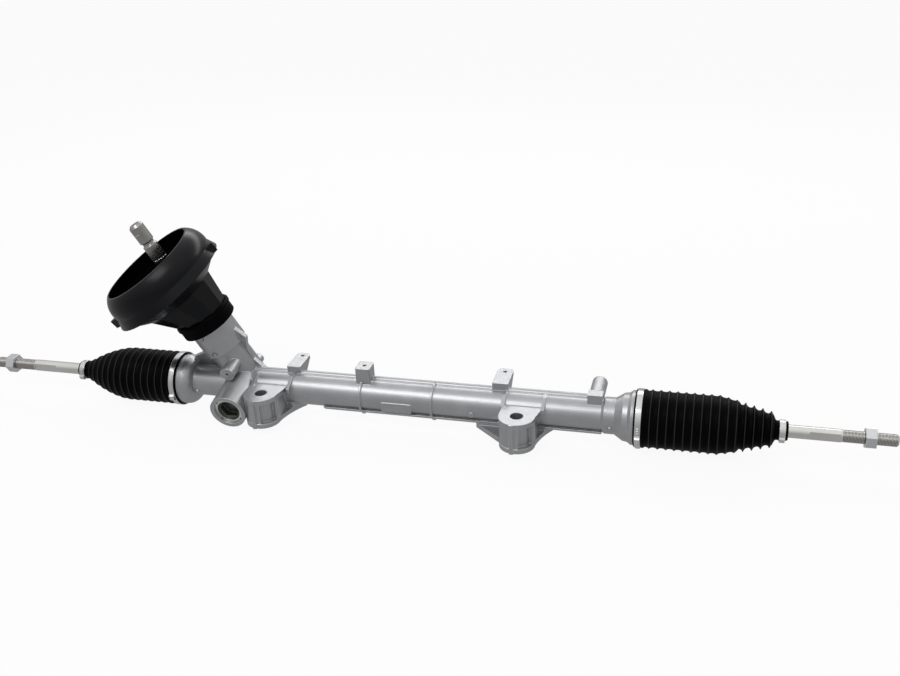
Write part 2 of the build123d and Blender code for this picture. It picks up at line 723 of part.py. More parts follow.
with BuildPart() as yoke_o_ring:
    with BuildSketch(YOKE_PROFILE) as section:
        with Locations((YOKE_END - 3.5, YOKE_RADIUS - O_RING_RADIUS)):
            RegularPolygon(O_RING_RADIUS - SLIDE_FIT, 8, major_radius=False, rotation=22.5)
    revolve(section.sketch, axis=Axis(YOKE_PROFILE.origin, YOKE_PROFILE.x_dir))
keep(yoke_o_ring, "yoke_o_ring")

with BuildPart() as yoke_spring:
    # A flat-wire coil between the yoke's pocket and the plug's
    spring_length = PLUG_START + PLUG_POCKET_DEPTH - SPRING_SEAT
    coil_rise = spring_length - YOKE_WIRE - 2 * SLIDE_FIT
    coil_start = yoke_plane(SPRING_SEAT + YOKE_WIRE / 2 + SLIDE_FIT).origin
    pitch = coil_rise / YOKE_SPRING_TURNS
    with BuildLine() as coil:
        Helix(pitch, coil_rise, YOKE_SPRING_RADIUS, center=coil_start, direction=-TO_PINION)
    with BuildSketch(Plane(origin=coil.line @ 0, x_dir=TO_PINION, z_dir=coil.line % 0)) as wire:
        Rectangle(YOKE_WIRE, YOKE_WIRE)
    sweep(wire.sketch, path=coil.line, is_frenet=True)
keep(yoke_spring, "yoke_spring")

with BuildPart() as yoke_adjuster_plug:
    tube(YOKE_PROFILE, PLUG_START, PLUG_START + PLUG_LENGTH, YOKE_THREAD_RADIUS - FIT)
    pocket_end = PLUG_START + PLUG_POCKET_DEPTH
    tube(YOKE_PROFILE, PLUG_START, pocket_end, SPRING_POCKET_RADIUS, mode=Mode.SUBTRACT)
    with BuildSketch(yoke_plane(PLUG_START + PLUG_LENGTH)) as socket:
        RegularPolygon(PLUG_SOCKET_FLATS / 2, 6, major_radius=False)
    extrude(socket.sketch, amount=-PLUG_SOCKET_DEPTH, mode=Mode.SUBTRACT)
keep(yoke_adjuster_plug, "yoke_adjuster_plug")

with BuildPart() as yoke_lock_ring:
    ring_start = PLUG_START + PLUG_LENGTH
    ring_end = ring_start + LOCK_RING_WIDTH
    tube(YOKE_PROFILE, ring_start, ring_end, YOKE_THREAD_RADIUS - FIT, LOCK_RING_BORE_RADIUS)
    with BuildSketch(yoke_plane(ring_start)) as slots:
        with PolarLocations(YOKE_THREAD_RADIUS, 4, start_angle=50):
            Rectangle(4, 3)
    extrude(slots.sketch, amount=LOCK_RING_WIDTH, mode=Mode.SUBTRACT)
keep(yoke_lock_ring, "yoke_lock_ring")

# ---------------------------------------------------------------- rack bush
with BuildPart() as rack_bush:
    tube(FAR_SIDE, BUSH_START, BUSH_END, TUBE_BORE_RADIUS - FIT, RACK_RADIUS + SLIDE_FIT)
keep(rack_bush, "rack_bush")


def snap_ring(plane, start, outer, inner, gap_plane):
    # An open spring ring: the gap is a quarter of the ring's radius wide.
    tube(plane, start, start + SNAP_RING_WIDTH, outer, inner)
    with BuildSketch(gap_plane) as gap:
        with Locations((outer, 0)):
            Rectangle(2 * (outer - inner) + 2, outer / 4)
    extrude(gap.sketch, amount=SNAP_RING_WIDTH, both=True, mode=Mode.SUBTRACT)


with BuildPart() as bush_snap_ring:
    bush_ring_plane = rack_plane(RACK_MID_X + BUSH_END)
    snap_ring(FAR_SIDE, BUSH_END, BUSH_RING_RADIUS - FIT, TUBE_BORE_RADIUS - 1.5, bush_ring_plane)
keep(bush_snap_ring, "bush_snap_ring")

# ---------------------------------------------------------------- pinion
EDGE_SPAN = PINION_FACE / 2
PRESSURE = atan(tan(radians(PRESSURE_ANGLE)) / cos(LEAN))
BASE_RADIUS = PITCH_RADIUS * cos(PRESSURE)
THICKNESS = (pi / 2 + 2 * PROFILE_SHIFT * tan(radians(PRESSURE_ANGLE))) * MODULE / cos(LEAN) - BACKLASH
CIRCLIP_START = BEARING_START + BEARING_WIDTH
CIRCLIP_GROOVE = BEARING_BORE_RADIUS - 1.0
FLANK_STEPS = 4


def involute(angle):
    return tan(angle) - angle


def flank_point(radius):
    # Half the angle that a tooth fills at this radius, in radians
    at_radius = acos(min(1.0, BASE_RADIUS / radius))
    return THICKNESS / 2 / PITCH_RADIUS + involute(PRESSURE) - involute(at_radius)


def tooth_outline(turned):
    flank = GEAR_TIP_RADIUS - BASE_RADIUS
    flank_radii = [BASE_RADIUS + flank * step / FLANK_STEPS for step in range(FLANK_STEPS + 1)]
    pitch_angle = 2 * pi / PINION_TEETH
    with BuildLine() as outline:
        for tooth in range(PINION_TEETH):
            centre = radians(turned) - pi / 2 + (tooth + 0.5) * pitch_angle

            def place(radius, angle, centre=centre):
                return (radius * cos(centre + angle), radius * sin(centre + angle))

            rising = [place(r, -flank_point(r)) for r in flank_radii]
            falling = [place(r, flank_point(r)) for r in reversed(flank_radii)]
            foot = flank_point(BASE_RADIUS)
            Line(place(GEAR_ROOT_RADIUS, -foot), rising[0])
            Spline(*rising)
            RadiusArc(rising[-1], falling[0], GEAR_TIP_RADIUS)
            Spline(*falling)
            Line(falling[-1], place(GEAR_ROOT_RADIUS, foot))
            next_foot = place(GEAR_ROOT_RADIUS, pitch_angle - foot)
            RadiusArc(place(GEAR_ROOT_RADIUS, foot), next_foot, GEAR_ROOT_RADIUS)
    return outline


CIRCLIP_GROOVE_END = CIRCLIP_START + SNAP_RING_WIDTH
NECK_RADIUS = GEAR_ROOT_RADIUS - 0.2
PINCH_GROOVE = INPUT_TIP - PINCH_GROOVE_FROM_TIP
SEAT_END = CIRCLIP_GROOVE_END + 1.5

with BuildPart() as pinion_shaft:
    for step in range(TEETH_SECTIONS):
        height = -EDGE_SPAN + PINION_FACE * step / (TEETH_SECTIONS - 1)
        with BuildSketch(pinion_plane(height)) as section:
            add(tooth_outline(HELIX_TURN * height).line)
            make_face()
    loft()
    turn(
        [
            (NEEDLE_CUP_START + 1, 0),
            (NEEDLE_CUP_START + 1, JOURNAL_RADIUS - 0.8),
            (NEEDLE_CUP_START + 1.8, JOURNAL_RADIUS),
            (-EDGE_SPAN, JOURNAL_RADIUS),
            (-EDGE_SPAN, 0),
        ],
        PINION_PROFILE,
    )
    turn(
        [
            (EDGE_SPAN, 0),
            (EDGE_SPAN, NECK_RADIUS),
            (EDGE_SPAN + 2, SHOULDER_RADIUS),
            (BEARING_START, SHOULDER_RADIUS),
            (BEARING_START, BEARING_BORE_RADIUS),
            (CIRCLIP_START, BEARING_BORE_RADIUS),
            (CIRCLIP_START, CIRCLIP_GROOVE),
            (CIRCLIP_GROOVE_END, CIRCLIP_GROOVE),
            (CIRCLIP_GROOVE_END, BEARING_BORE_RADIUS),
            (SEAT_END, BEARING_BORE_RADIUS),
            (SEAT_END + 1, INPUT_RADIUS),
            (PINCH_GROOVE - PINCH_GROOVE_WIDTH / 2, INPUT_RADIUS),
            (PINCH_GROOVE - PINCH_GROOVE_WIDTH / 4, INPUT_RADIUS - PINCH_GROOVE_DEPTH),
            (PINCH_GROOVE + PINCH_GROOVE_WIDTH / 4, INPUT_RADIUS - PINCH_GROOVE_DEPTH),
            (PINCH_GROOVE + PINCH_GROOVE_WIDTH / 2, INPUT_RADIUS),
            (INPUT_TIP - INPUT_CHAMFER, INPUT_RADIUS),
            (INPUT_TIP, INPUT_RADIUS - INPUT_CHAMFER),
            (INPUT_TIP, 0),
        ],
        PINION_PROFILE,
    )
    # Serrations below the pinch groove, and the flat that keeps the joint in line
    with BuildSketch(pinion_plane(INPUT_TIP - SERRATION_FROM_TIP)) as serrations:
        with PolarLocations(INPUT_RADIUS, SERRATION_COUNT):
            Rectangle(2 * SERRATION_DEPTH, SERRATION_WIDTH)
    extrude(serrations.sketch, amount=-SERRATION_LENGTH, mode=Mode.SUBTRACT)
    with BuildSketch(pinion_plane(INPUT_TIP - FLAT_FROM_TIP)) as flat:
        with Locations((0, -INPUT_RADIUS)):
            Rectangle(2 * INPUT_RADIUS, 2 * FLAT_DEPTH)
    extrude(flat.sketch, amount=-FLAT_LENGTH, mode=Mode.SUBTRACT)
keep(pinion_shaft, "pinion_shaft")

# ---------------------------------------------------------------- pinion ball bearing
BALL_CIRCLE = (BEARING_BORE_RADIUS + BEARING_RADIUS) / 2
BEARING_MIDDLE = BEARING_START + BEARING_WIDTH / 2
INNER_RING_RADIUS = BEARING_BORE_RADIUS + RING_WALL
OUTER_RING_RADIUS = BEARING_RADIUS - RING_WALL


def grooved_ring(outer, inner):
    with BuildSketch(PINION_PROFILE) as ring_section:
        with Locations((BEARING_MIDDLE, (outer + inner) / 2)):
            Rectangle(BEARING_WIDTH, outer - inner)
        with Locations((BEARING_MIDDLE, BALL_CIRCLE)):
            Circle(BALL_RADIUS + BALL_CLEARANCE, mode=Mode.SUBTRACT)
    revolve(ring_section.sketch, axis=Axis(PINION_PROFILE.origin, PINION_PROFILE.x_dir))


with BuildPart() as bearing_outer_ring:
    grooved_ring(BEARING_RADIUS - FIT, OUTER_RING_RADIUS)
keep(bearing_outer_ring, "bearing_outer_ring")

with BuildPart() as bearing_inner_ring:
    grooved_ring(INNER_RING_RADIUS, BEARING_BORE_RADIUS + FIT)
keep(bearing_inner_ring, "bearing_inner_ring")

with BuildPart() as bearing_balls:
    with BuildSketch(pinion_plane(BEARING_MIDDLE)) as ball_centres:
        with PolarLocations(BALL_CIRCLE, BALL_COUNT):
            Circle(BALL_RADIUS)
    for face in ball_centres.sketch.faces():
        with Locations(face.center()):
            Sphere(BALL_RADIUS)
keep(bearing_balls, "bearing_balls")

with BuildPart() as bearing_cage:
    pocket_half = BALL_RADIUS + 2 * BALL_CLEARANCE
    cage_half = pocket_half + 0.8
    cage_outer = BALL_CIRCLE + CAGE_WALL / 2
    cage_start = BEARING_MIDDLE - cage_half
    tube(PINION_PROFILE, cage_start, cage_start + 2 * cage_half, cage_outer, cage_outer - CAGE_WALL)
    with BuildSketch(pinion_plane(BEARING_MIDDLE)) as pockets:
        with PolarLocations(BALL_CIRCLE, BALL_COUNT):
            Rectangle(3 * CAGE_WALL, 2 * pocket_half)
    extrude(pockets.sketch, amount=pocket_half, both=True, mode=Mode.SUBTRACT)
keep(bearing_cage, "bearing_cage")

with BuildPart() as bearing_snap_ring:
    snap_outer = BEARING_RADIUS + SNAP_RING_REACH - FIT
    gap_plane = pinion_plane(CIRCLIP_START)
    snap_ring(PINION_PROFILE, CIRCLIP_START, snap_outer, OUTER_RING_RADIUS + 0.4, gap_plane)
keep(bearing_snap_ring, "bearing_snap_ring")

with BuildPart() as pinion_circlip:
    gap_plane = pinion_plane(CIRCLIP_START)
    snap_ring(PINION_PROFILE, CIRCLIP_START, INNER_RING_RADIUS, CIRCLIP_GROOVE + FIT, gap_plane)
keep(pinion_circlip, "pinion_circlip")

# ---------------------------------------------------------------- needle bearing
NEEDLE_CIRCLE = JOURNAL_RADIUS + NEEDLE_RADIUS + FIT
NEEDLE_LIP_RADIUS = JOURNAL_RADIUS + 0.4

with BuildPart() as needle_cup:
    tube(PINION_PROFILE, NEEDLE_CUP_START, NEEDLE_CUP_END, NEEDLE_BORE - FIT, NEEDLE_LIP_RADIUS)
    raceway = NEEDLE_CIRCLE + NEEDLE_RADIUS + FIT
    tube(PINION_PROFILE, NEEDLE_CUP_START + 1.2, NEEDLE_CUP_END - 1.2, raceway, mode=Mode.SUBTRACT)
keep(needle_cup, "needle_cup")

with BuildPart() as needle_rollers:
    with BuildSketch(pinion_plane(NEEDLE_CUP_START + 1.3)) as rollers:
        with PolarLocations(NEEDLE_CIRCLE, NEEDLE_COUNT):
            Circle(NEEDLE_RADIUS)
    extrude(rollers.sketch, amount=NEEDLE_LENGTH)
keep(needle_rollers, "needle_rollers")

# ---------------------------------------------------------------- oil seal and dash seal
with BuildPart() as pinion_oil_seal:
    seal_start = TOWER_TOP - SEAL_DEPTH - SEAL_WIDTH
    seal_end = seal_start + SEAL_WIDTH
    turn(
        [
            (seal_start, SEAL_RADIUS - FIT),
            (seal_start, SEAL_RADIUS - 2.5),
            (seal_end - 2, SEAL_RADIUS - 2.5),
            (seal_end - 2.5, INPUT_RADIUS + 3),
            (seal_start + 2, INPUT_RADIUS + 1.6),
            (seal_start + 3, INPUT_RADIUS + SLIDE_FIT),
            (seal_end - 1, INPUT_RADIUS + 1),
            (seal_end, INPUT_RADIUS + 2),
            (seal_end, SEAL_RADIUS - FIT),
        ],
        PINION_PROFILE,
    )
keep(pinion_oil_seal, "pinion_oil_seal")

COLLAR_END = COLLAR_START + COLLAR_LENGTH
with BuildPart() as dash_seal_collar:
    turn(
        [
            (COLLAR_START, TOWER_RADIUS + FIT),
            (COLLAR_START, COLLAR_RADIUS - 1),
            (COLLAR_START + 1, COLLAR_RADIUS),
            (COLLAR_END - 7, COLLAR_RADIUS),
            (COLLAR_END - 5, COLLAR_RADIUS + COLLAR_BEAD),
            (COLLAR_END - 2, COLLAR_RADIUS + COLLAR_BEAD),
            (COLLAR_END, COLLAR_RADIUS),
            (COLLAR_END, TOWER_RADIUS - COLLAR_LIP),
            (TOWER_TOP, TOWER_RADIUS - COLLAR_LIP),
            (TOWER_TOP, TOWER_RADIUS + FIT),
        ],
        PINION_PROFILE,
    )
keep(dash_seal_collar, "dash_seal_collar")

BELL_OUTWARD = PINION_ACROSS * tan(radians(BELL_LEAN_OUT))
BELL_UP = (PINION_UP - BELL_OUTWARD - TO_PINION * tan(radians(BELL_LEAN_FORWARD))).normalized()
BELL_SIDE = TO_PINION.cross(BELL_UP)
BELL_CENTRE = PINION_ORIGIN + PINION_UP * BELL_HEIGHT - PINION_ACROSS * BELL_OUT - TO_PINION * BELL_FORWARD
BELL_PROFILE = Plane(origin=BELL_CENTRE, x_dir=BELL_UP, z_dir=BELL_SIDE)


def bell_plane(depth):
    return Plane(origin=BELL_CENTRE - BELL_UP * depth, x_dir=BELL_SIDE, z_dir=BELL_UP)


def bell_cup(lip_points, shrink, mode):
    # A half-section from the throat out to the crease, and round the shoulder to the rim
    crease = (-SEAL_CREASE_DEPTH, SEAL_CREASE_RADIUS - shrink)
    shoulder = (-SEAL_SHOULDER_DEPTH, SEAL_SHOULDER_RADIUS - shrink)
    rim = (0, SEAL_OPENING_RADIUS - shrink)
    floor = -SEAL_THROAT_DEPTH + shrink
    with BuildSketch(BELL_PROFILE) as half_section:
        with BuildLine():
            Polyline(
                (shrink, 0),
                (floor, 0),
                (floor, SEAL_THROAT_RADIUS - shrink),
                (floor + 8, SEAL_THROAT_RADIUS + 12 - shrink),
                *lip_points,
                crease,
            )
            ThreePointArc(crease, shoulder, rim)
            if shrink:
                Line(rim, (shrink, SEAL_OPENING_RADIUS - shrink))
            Line((shrink, SEAL_OPENING_RADIUS - shrink), (shrink, 0))
        make_face()
    revolve(half_section.sketch, axis=Axis(BELL_PROFILE.origin, BELL_PROFILE.x_dir), mode=mode)


def bell_neck(shrink, mode):
    with BuildSketch(pinion_plane(COLLAR_END - shrink)) as low:
        RegularPolygon(SEAL_NECK_RADIUS - shrink, 12)
    with BuildSketch(bell_plane(SEAL_THROAT_DEPTH - shrink)) as high:
        RegularPolygon(SEAL_THROAT_RADIUS - shrink, 12)
    loft([low.sketch, high.sketch], mode=mode)


with BuildPart() as dash_seal_bell:
    lip_root = (-SEAL_LIP_DEPTH - 2, SEAL_LIP_RADIUS - 8)
    inner_root = (SEAL_WALL + lip_root[0], lip_root[1] - SEAL_WALL)
    bell_cup([lip_root, (-SEAL_LIP_DEPTH, SEAL_LIP_RADIUS)], 0, Mode.ADD)
    # Two pointed ears on the lip
    for angle, reach in SEAL_EARS:
        ear_base = SEAL_LIP_RADIUS - SEAL_EAR_HALF
        with BuildSketch(bell_plane(SEAL_LIP_DEPTH)) as ear:
            with PolarLocations(ear_base, 1, start_angle=angle):
                Polygon((0, -SEAL_EAR_HALF), (reach - ear_base, 0), (0, SEAL_EAR_HALF), align=None)
        extrude(ear.sketch, amount=SEAL_LIP_DEPTH - SEAL_CREASE_DEPTH)
    bell_neck(0, Mode.ADD)
    bell_cup([inner_root], SEAL_WALL, Mode.SUBTRACT)
    bell_neck(SEAL_WALL, Mode.SUBTRACT)
keep(dash_seal_bell, "dash_seal_bell")

# ---------------------------------------------------------------- rack bar
CUP_START = STOP_FACE + TRAVEL + JOINT_STOP_GAP
BAR_HALF = CUP_START - WASHER_WIDTH
TEETH_LENGTH = RACK_TEETH * RACK_PITCH

with BuildPart() as rack_bar:
    tube(FAR_SIDE, -BAR_HALF, BAR_HALF, RACK_RADIUS)
    with BuildSketch(TOOTH_PROFILE) as flat:
        with Locations((0, RACK_RADIUS)):
            Rectangle(TEETH_LENGTH, 2 * (RACK_RADIUS - RACK_TIP_HEIGHT))
    extrude(flat.sketch, amount=RACK_RADIUS, both=True, mode=Mode.SUBTRACT)
    gap_half = RACK_PITCH / 4
    slope = tan(radians(PRESSURE_ANGLE))
    root_half = gap_half - (RACK_PITCH_HEIGHT - RACK_ROOT_HEIGHT) * slope
    mouth_half = gap_half + (RACK_RADIUS - RACK_PITCH_HEIGHT) * slope
    with BuildSketch(TOOTH_PROFILE) as gaps:
        with GridLocations(RACK_PITCH, 1, RACK_TEETH - 1, 1):
            Polygon(
                (-root_half, RACK_ROOT_HEIGHT),
                (root_half, RACK_ROOT_HEIGHT),
                (mouth_half, RACK_RADIUS),
                (-mouth_half, RACK_RADIUS),
                align=None,
            )
    extrude(gaps.sketch, amount=RACK_RADIUS, both=True, mode=Mode.SUBTRACT)
    for side in (-1, 1):
        hole_start = CUP_START - CUP_THREAD_LENGTH - 3
        tube(side_plane(side), hole_start, BAR_HALF, CUP_THREAD_RADIUS + FIT, mode=Mode.SUBTRACT)
keep(rack_bar, "rack_bar")

# ---------------------------------------------------------------- inner joints and tie rods
BALL_X = CUP_START + BALL_CENTRE
SEAT_RADIUS = JOINT_BALL_RADIUS + SEAT_WALL
CUP_END = CUP_START + CUP_LENGTH


def turn_upper_half(section, plane):
    # The section is drawn on both sides of the axis; its upper half is turned.
    with BuildSketch(plane) as upper_half:
        add(section)
        Rectangle(4 * TIE_ROD_HALF, TIE_ROD_HALF, align=(Align.CENTER, Align.MAX), mode=Mode.SUBTRACT)
    revolve(upper_half.sketch, axis=Axis(plane.origin, plane.x_dir))


def add_lock_washer(side):
    with BuildPart() as lock_washer:
        tube(side_plane(side), BAR_HALF, CUP_START, RACK_RADIUS + 2, CUP_THREAD_RADIUS + FIT)
    keep(lock_washer, on_side(side, "lock_washer"))


def add_joint_cup(side):
    with BuildSketch() as section:
        with BuildLine():
            Polyline(
                (CUP_START - CUP_THREAD_LENGTH, -1),
                (CUP_START - CUP_THREAD_LENGTH, CUP_THREAD_RADIUS),
                (CUP_START, CUP_THREAD_RADIUS),
                (CUP_START, CUP_RADIUS - 1),
                (CUP_START + 1, CUP_RADIUS),
                (CUP_END - 6, CUP_RADIUS),
                (CUP_END, CUP_RADIUS - 2.5),
                (CUP_END, -1),
                close=True,
            )
        make_face()
        with Locations((BALL_X, 0)):
            Circle(SEAT_RADIUS + SLIDE_FIT, mode=Mode.SUBTRACT)
        with BuildLine():
            Polyline(
                (BALL_X, -2),
                (BALL_X, CUP_MOUTH_RADIUS),
                (CUP_END + 1, CUP_MOUTH_RADIUS + 6),
                (CUP_END + 1, -2),
                close=True,
            )
        make_face(mode=Mode.SUBTRACT)
    with BuildPart() as joint_cup:
        turn_upper_half(section.sketch, side_plane(side))
        with BuildSketch(rack_plane(RACK_MID_X + side * (CUP_START + 6))) as flats:
            Rectangle(3 * CUP_RADIUS, 3 * CUP_RADIUS)
            Rectangle(3 * CUP_RADIUS, 2 * CUP_RADIUS - 4, mode=Mode.SUBTRACT)
        extrude(flats.sketch, amount=5, both=True, mode=Mode.SUBTRACT)
    keep(joint_cup, on_side(side, "inner_joint_cup"))


def add_ball_seat(side):
    with BuildSketch() as section:
        with Locations((BALL_X, 0)):
            Circle(SEAT_RADIUS)
            Circle(JOINT_BALL_RADIUS + SLIDE_FIT, mode=Mode.SUBTRACT)
        with Locations((BALL_X + SEAT_FRONT, 0)):
            Rectangle(SEAT_RADIUS, 3 * SEAT_RADIUS, align=(Align.MIN, Align.CENTER), mode=Mode.SUBTRACT)
        with Locations((BALL_X - SEAT_BACK, 0)):
            Rectangle(SEAT_RADIUS, 3 * SEAT_RADIUS, align=(Align.MAX, Align.CENTER), mode=Mode.SUBTRACT)
    with BuildPart() as ball_seat:
        turn_upper_half(section.sketch, side_plane(side))
    keep(ball_seat, on_side(side, "ball_seat"))


def add_tie_rod(side, nut_from_tip):
    # The nut engages the thread at its pitch radius, and bears on its full radius past each face.
    thread_start = TIE_ROD_HALF - TIE_THREAD_LENGTH
    nut_outer = TIE_ROD_HALF - nut_from_tip
    nut_inner = nut_outer - NUT_LENGTH
    with BuildSketch() as section:
        with Locations((BALL_X, 0)):
            Circle(JOINT_BALL_RADIUS)
        with BuildLine():
            Polyline(
                (BALL_X, -1),
                (BALL_X, 5.5),
                (BALL_X + 18, 5.5),
                (BALL_X + 24, TIE_ROD_RADIUS),
                (thread_start - 2, TIE_ROD_RADIUS),
                (thread_start, TIE_THREAD_RADIUS),
                (nut_inner - THREAD_RUNOUT, TIE_THREAD_RADIUS),
                (nut_inner - THREAD_RUNOUT, ENGAGED_THREAD_RADIUS),
                (nut_outer + THREAD_RUNOUT, ENGAGED_THREAD_RADIUS),
                (nut_outer + THREAD_RUNOUT, TIE_THREAD_RADIUS),
                (TIE_ROD_HALF - TIE_TIP_CHAMFER, TIE_THREAD_RADIUS),
                (TIE_ROD_HALF, TIE_THREAD_RADIUS - TIE_TIP_CHAMFER),
                (TIE_ROD_HALF, -1),
                close=True,
            )
        make_face()
    with BuildPart() as tie_rod:
        turn_upper_half(section.sketch, side_plane(side))
        flats_x = RACK_MID_X + side * (thread_start - 2 - WRENCH_LENGTH)
        with BuildSketch(rack_plane(flats_x)) as flats:
            Rectangle(3 * TIE_ROD_RADIUS, 3 * TIE_ROD_RADIUS)
            Rectangle(WRENCH_FLATS, 3 * TIE_ROD_RADIUS, mode=Mode.SUBTRACT)
        extrude(flats.sketch, amount=side * WRENCH_LENGTH, mode=Mode.SUBTRACT)
    keep(tie_rod, on_side(side, "tie_rod"))


def add_lock_nut(side, from_tip, turned):
    outer_face = RACK_MID_X + side * (TIE_ROD_HALF - from_tip)
    with BuildPart() as lock_nut:
        with BuildSketch(rack_plane(outer_face)) as nut:
            RegularPolygon(NUT_FLATS / 2, 6, major_radius=False, rotation=turned)
            Circle(ENGAGED_THREAD_RADIUS + FIT, mode=Mode.SUBTRACT)
        extrude(nut.sketch, amount=-side * NUT_LENGTH)
    keep(lock_nut, on_side(side, "lock_nut"))


for side, nut_from_tip, nut_turn in ((-1, LEFT_NUT_FROM_TIP, 0), (1, RIGHT_NUT_FROM_TIP, 30)):
    add_lock_washer(side)
    add_joint_cup(side)
    add_ball_seat(side)
    add_tie_rod(side, nut_from_tip)
    add_lock_nut(side, nut_from_tip, nut_turn)

# ---------------------------------------------------------------- boots and clamps
BOOT_START = HOUSING_HALF - BOOT_SEAT_LENGTH
SLEEVE_RADIUS = TIE_ROD_RADIUS + SOFT_GAP
SLEEVE_OUTER = SLEEVE_RADIUS + BOOT_SLEEVE_WALL


def crest_radius(from_sleeve, end_radius):
    # The crests keep their radius up to the taper, and then curve in towards the sleeve.
    share = max(0, 1 - from_sleeve / BOOT_TAPER_LENGTH)
    return BOOT_CREST_RADIUS - (BOOT_CREST_RADIUS - end_radius) * share**BOOT_TAPER_POWER


def add_boot(side, length, ridges, end_radius):
    sleeve_start = BOOT_START + length
    boot_end = sleeve_start + BOOT_SLEEVE_LENGTH
    ridge_start = HOUSING_HALF + 4
    ridge_end = sleeve_start - 6
    step = (ridge_end - ridge_start) / ridges
    bellows = []
    for ridge in range(ridges):
        crest = ridge_start + step * (ridge + 0.5)
        root = crest + step / 2
        root_radius = crest_radius(sleeve_start - root, end_radius) - BOOT_RIDGE_DEPTH
        bellows.append((crest, crest_radius(sleeve_start - crest, end_radius)))
        bellows.append((root, max(root_radius, SLEEVE_OUTER)))
    skin = BOOT_RIDGE_DEPTH + BOOT_WALL
    lining = []
    for from_sleeve in [BOOT_TAPER_LENGTH * share for share in (0.1, 0.35, 0.65, 1.0)]:
        lining.append((sleeve_start - from_sleeve, crest_radius(from_sleeve, end_radius) - skin))
    with BuildPart() as boot:
        turn(
            [
                (BOOT_START, BOOT_SEAT_RADIUS + FIT),
                (BOOT_START, BOOT_BEAD_RADIUS),
                (ridge_start, BOOT_BEAD_RADIUS - 1.0),
                (ridge_start, BOOT_CREST_RADIUS - BOOT_RIDGE_DEPTH),
                *bellows,
                (sleeve_start, SLEEVE_OUTER),
                (boot_end, SLEEVE_OUTER),
                (boot_end, SLEEVE_RADIUS),
                (sleeve_start, SLEEVE_RADIUS),
                *lining,
                (HOUSING_HALF + 2, BOOT_CREST_RADIUS - skin),
                (HOUSING_HALF + 2, BOOT_SEAT_RADIUS + FIT),
            ],
            side_plane(side),
        )
    keep(boot, on_side(side, "boot"))


def add_clamp(side, start, inner, name, ear_angle):
    middle = RACK_MID_X + side * (start + BAND_WIDTH / 2)
    ear_plane = Plane(origin=(middle, RACK_Y, RACK_Z), x_dir=(side, 0, 0), z_dir=(0, -1, 0))
    ear_plane = ear_plane.rotated((ear_angle, 0, 0))
    with BuildPart() as clamp:
        tube(side_plane(side), start, start + BAND_WIDTH, inner + BAND_WALL, inner)
        with BuildSketch(ear_plane.offset(inner + BAND_WALL / 5)) as ear:
            RectangleRounded(BAND_WIDTH, EAR_LENGTH, 1)
        extrude(ear.sketch, amount=EAR_HEIGHT)
    keep(clamp, on_side(side, name))


BOOT_SIZES = (
    (-1, LEFT_BOOT_LENGTH, LEFT_BOOT_RIDGES, LEFT_BOOT_END_RADIUS),
    (1, RIGHT_BOOT_LENGTH, RIGHT_BOOT_RIDGES, RIGHT_BOOT_END_RADIUS),
)
for side, length, ridges, end_radius in BOOT_SIZES:
    add_boot(side, length, ridges, end_radius)
    add_clamp(side, BOOT_START + 2, BOOT_BEAD_RADIUS + FIT, "large_clamp", CLAMP_EAR_ANGLE)
    clamp_start = BOOT_START + length + (BOOT_SLEEVE_LENGTH - BAND_WIDTH) / 2
    add_clamp(side, clamp_start, SLEEVE_OUTER + SOFT_GAP, "small_clamp", CLAMP_EAR_ANGLE)
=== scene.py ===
import json
from math import cos, pi, radians, sin
import bmesh
import bpy
from mathutils import Matrix, Vector


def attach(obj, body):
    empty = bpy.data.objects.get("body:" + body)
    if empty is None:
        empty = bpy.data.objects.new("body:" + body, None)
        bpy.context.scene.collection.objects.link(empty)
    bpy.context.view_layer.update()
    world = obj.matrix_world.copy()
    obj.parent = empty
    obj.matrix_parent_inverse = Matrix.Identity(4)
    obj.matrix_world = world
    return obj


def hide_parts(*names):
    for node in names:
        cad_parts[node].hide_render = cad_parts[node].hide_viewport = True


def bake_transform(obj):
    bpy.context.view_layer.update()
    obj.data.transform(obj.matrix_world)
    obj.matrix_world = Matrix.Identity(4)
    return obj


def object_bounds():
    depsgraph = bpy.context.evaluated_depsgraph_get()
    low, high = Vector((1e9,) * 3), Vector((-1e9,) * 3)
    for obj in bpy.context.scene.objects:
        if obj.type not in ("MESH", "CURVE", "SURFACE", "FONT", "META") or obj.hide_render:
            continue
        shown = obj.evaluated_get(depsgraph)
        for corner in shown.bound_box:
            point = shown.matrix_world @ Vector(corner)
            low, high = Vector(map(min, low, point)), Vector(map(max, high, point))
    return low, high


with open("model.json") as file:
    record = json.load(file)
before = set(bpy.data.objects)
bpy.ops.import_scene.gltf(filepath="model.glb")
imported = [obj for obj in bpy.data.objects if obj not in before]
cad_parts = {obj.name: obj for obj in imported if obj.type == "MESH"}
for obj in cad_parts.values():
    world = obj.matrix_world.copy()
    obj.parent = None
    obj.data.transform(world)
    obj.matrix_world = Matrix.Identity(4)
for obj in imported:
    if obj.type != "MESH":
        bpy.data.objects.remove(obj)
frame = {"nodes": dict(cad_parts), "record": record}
cadLow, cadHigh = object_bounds()
print("frame loaded")

# the rack's axis in metres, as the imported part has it
rackAxis = {"y": 0.041, "z": 0.028, "middle": 0.005}
outwards = {"left": -1, "right": 1}
wholeTurn = 2 * pi


def onAxis(side, fromMiddle):
    return Vector((rackAxis["middle"] + outwards[side] * fromMiddle, rackAxis["y"], rackAxis["z"]))


def newGroup(name, inputs, outputs):
    group = bpy.data.node_groups.new(name, "ShaderNodeTree")
    for label, kind, value in inputs:
        socket = group.interface.new_socket(name=label, in_out="INPUT", socket_type=kind)
        socket.default_value = value
    for label, kind in outputs:
        group.interface.new_socket(name=label, in_out="OUTPUT", socket_type=kind)
    return group, group.nodes.new("NodeGroupInput"), group.nodes.new("NodeGroupOutput")


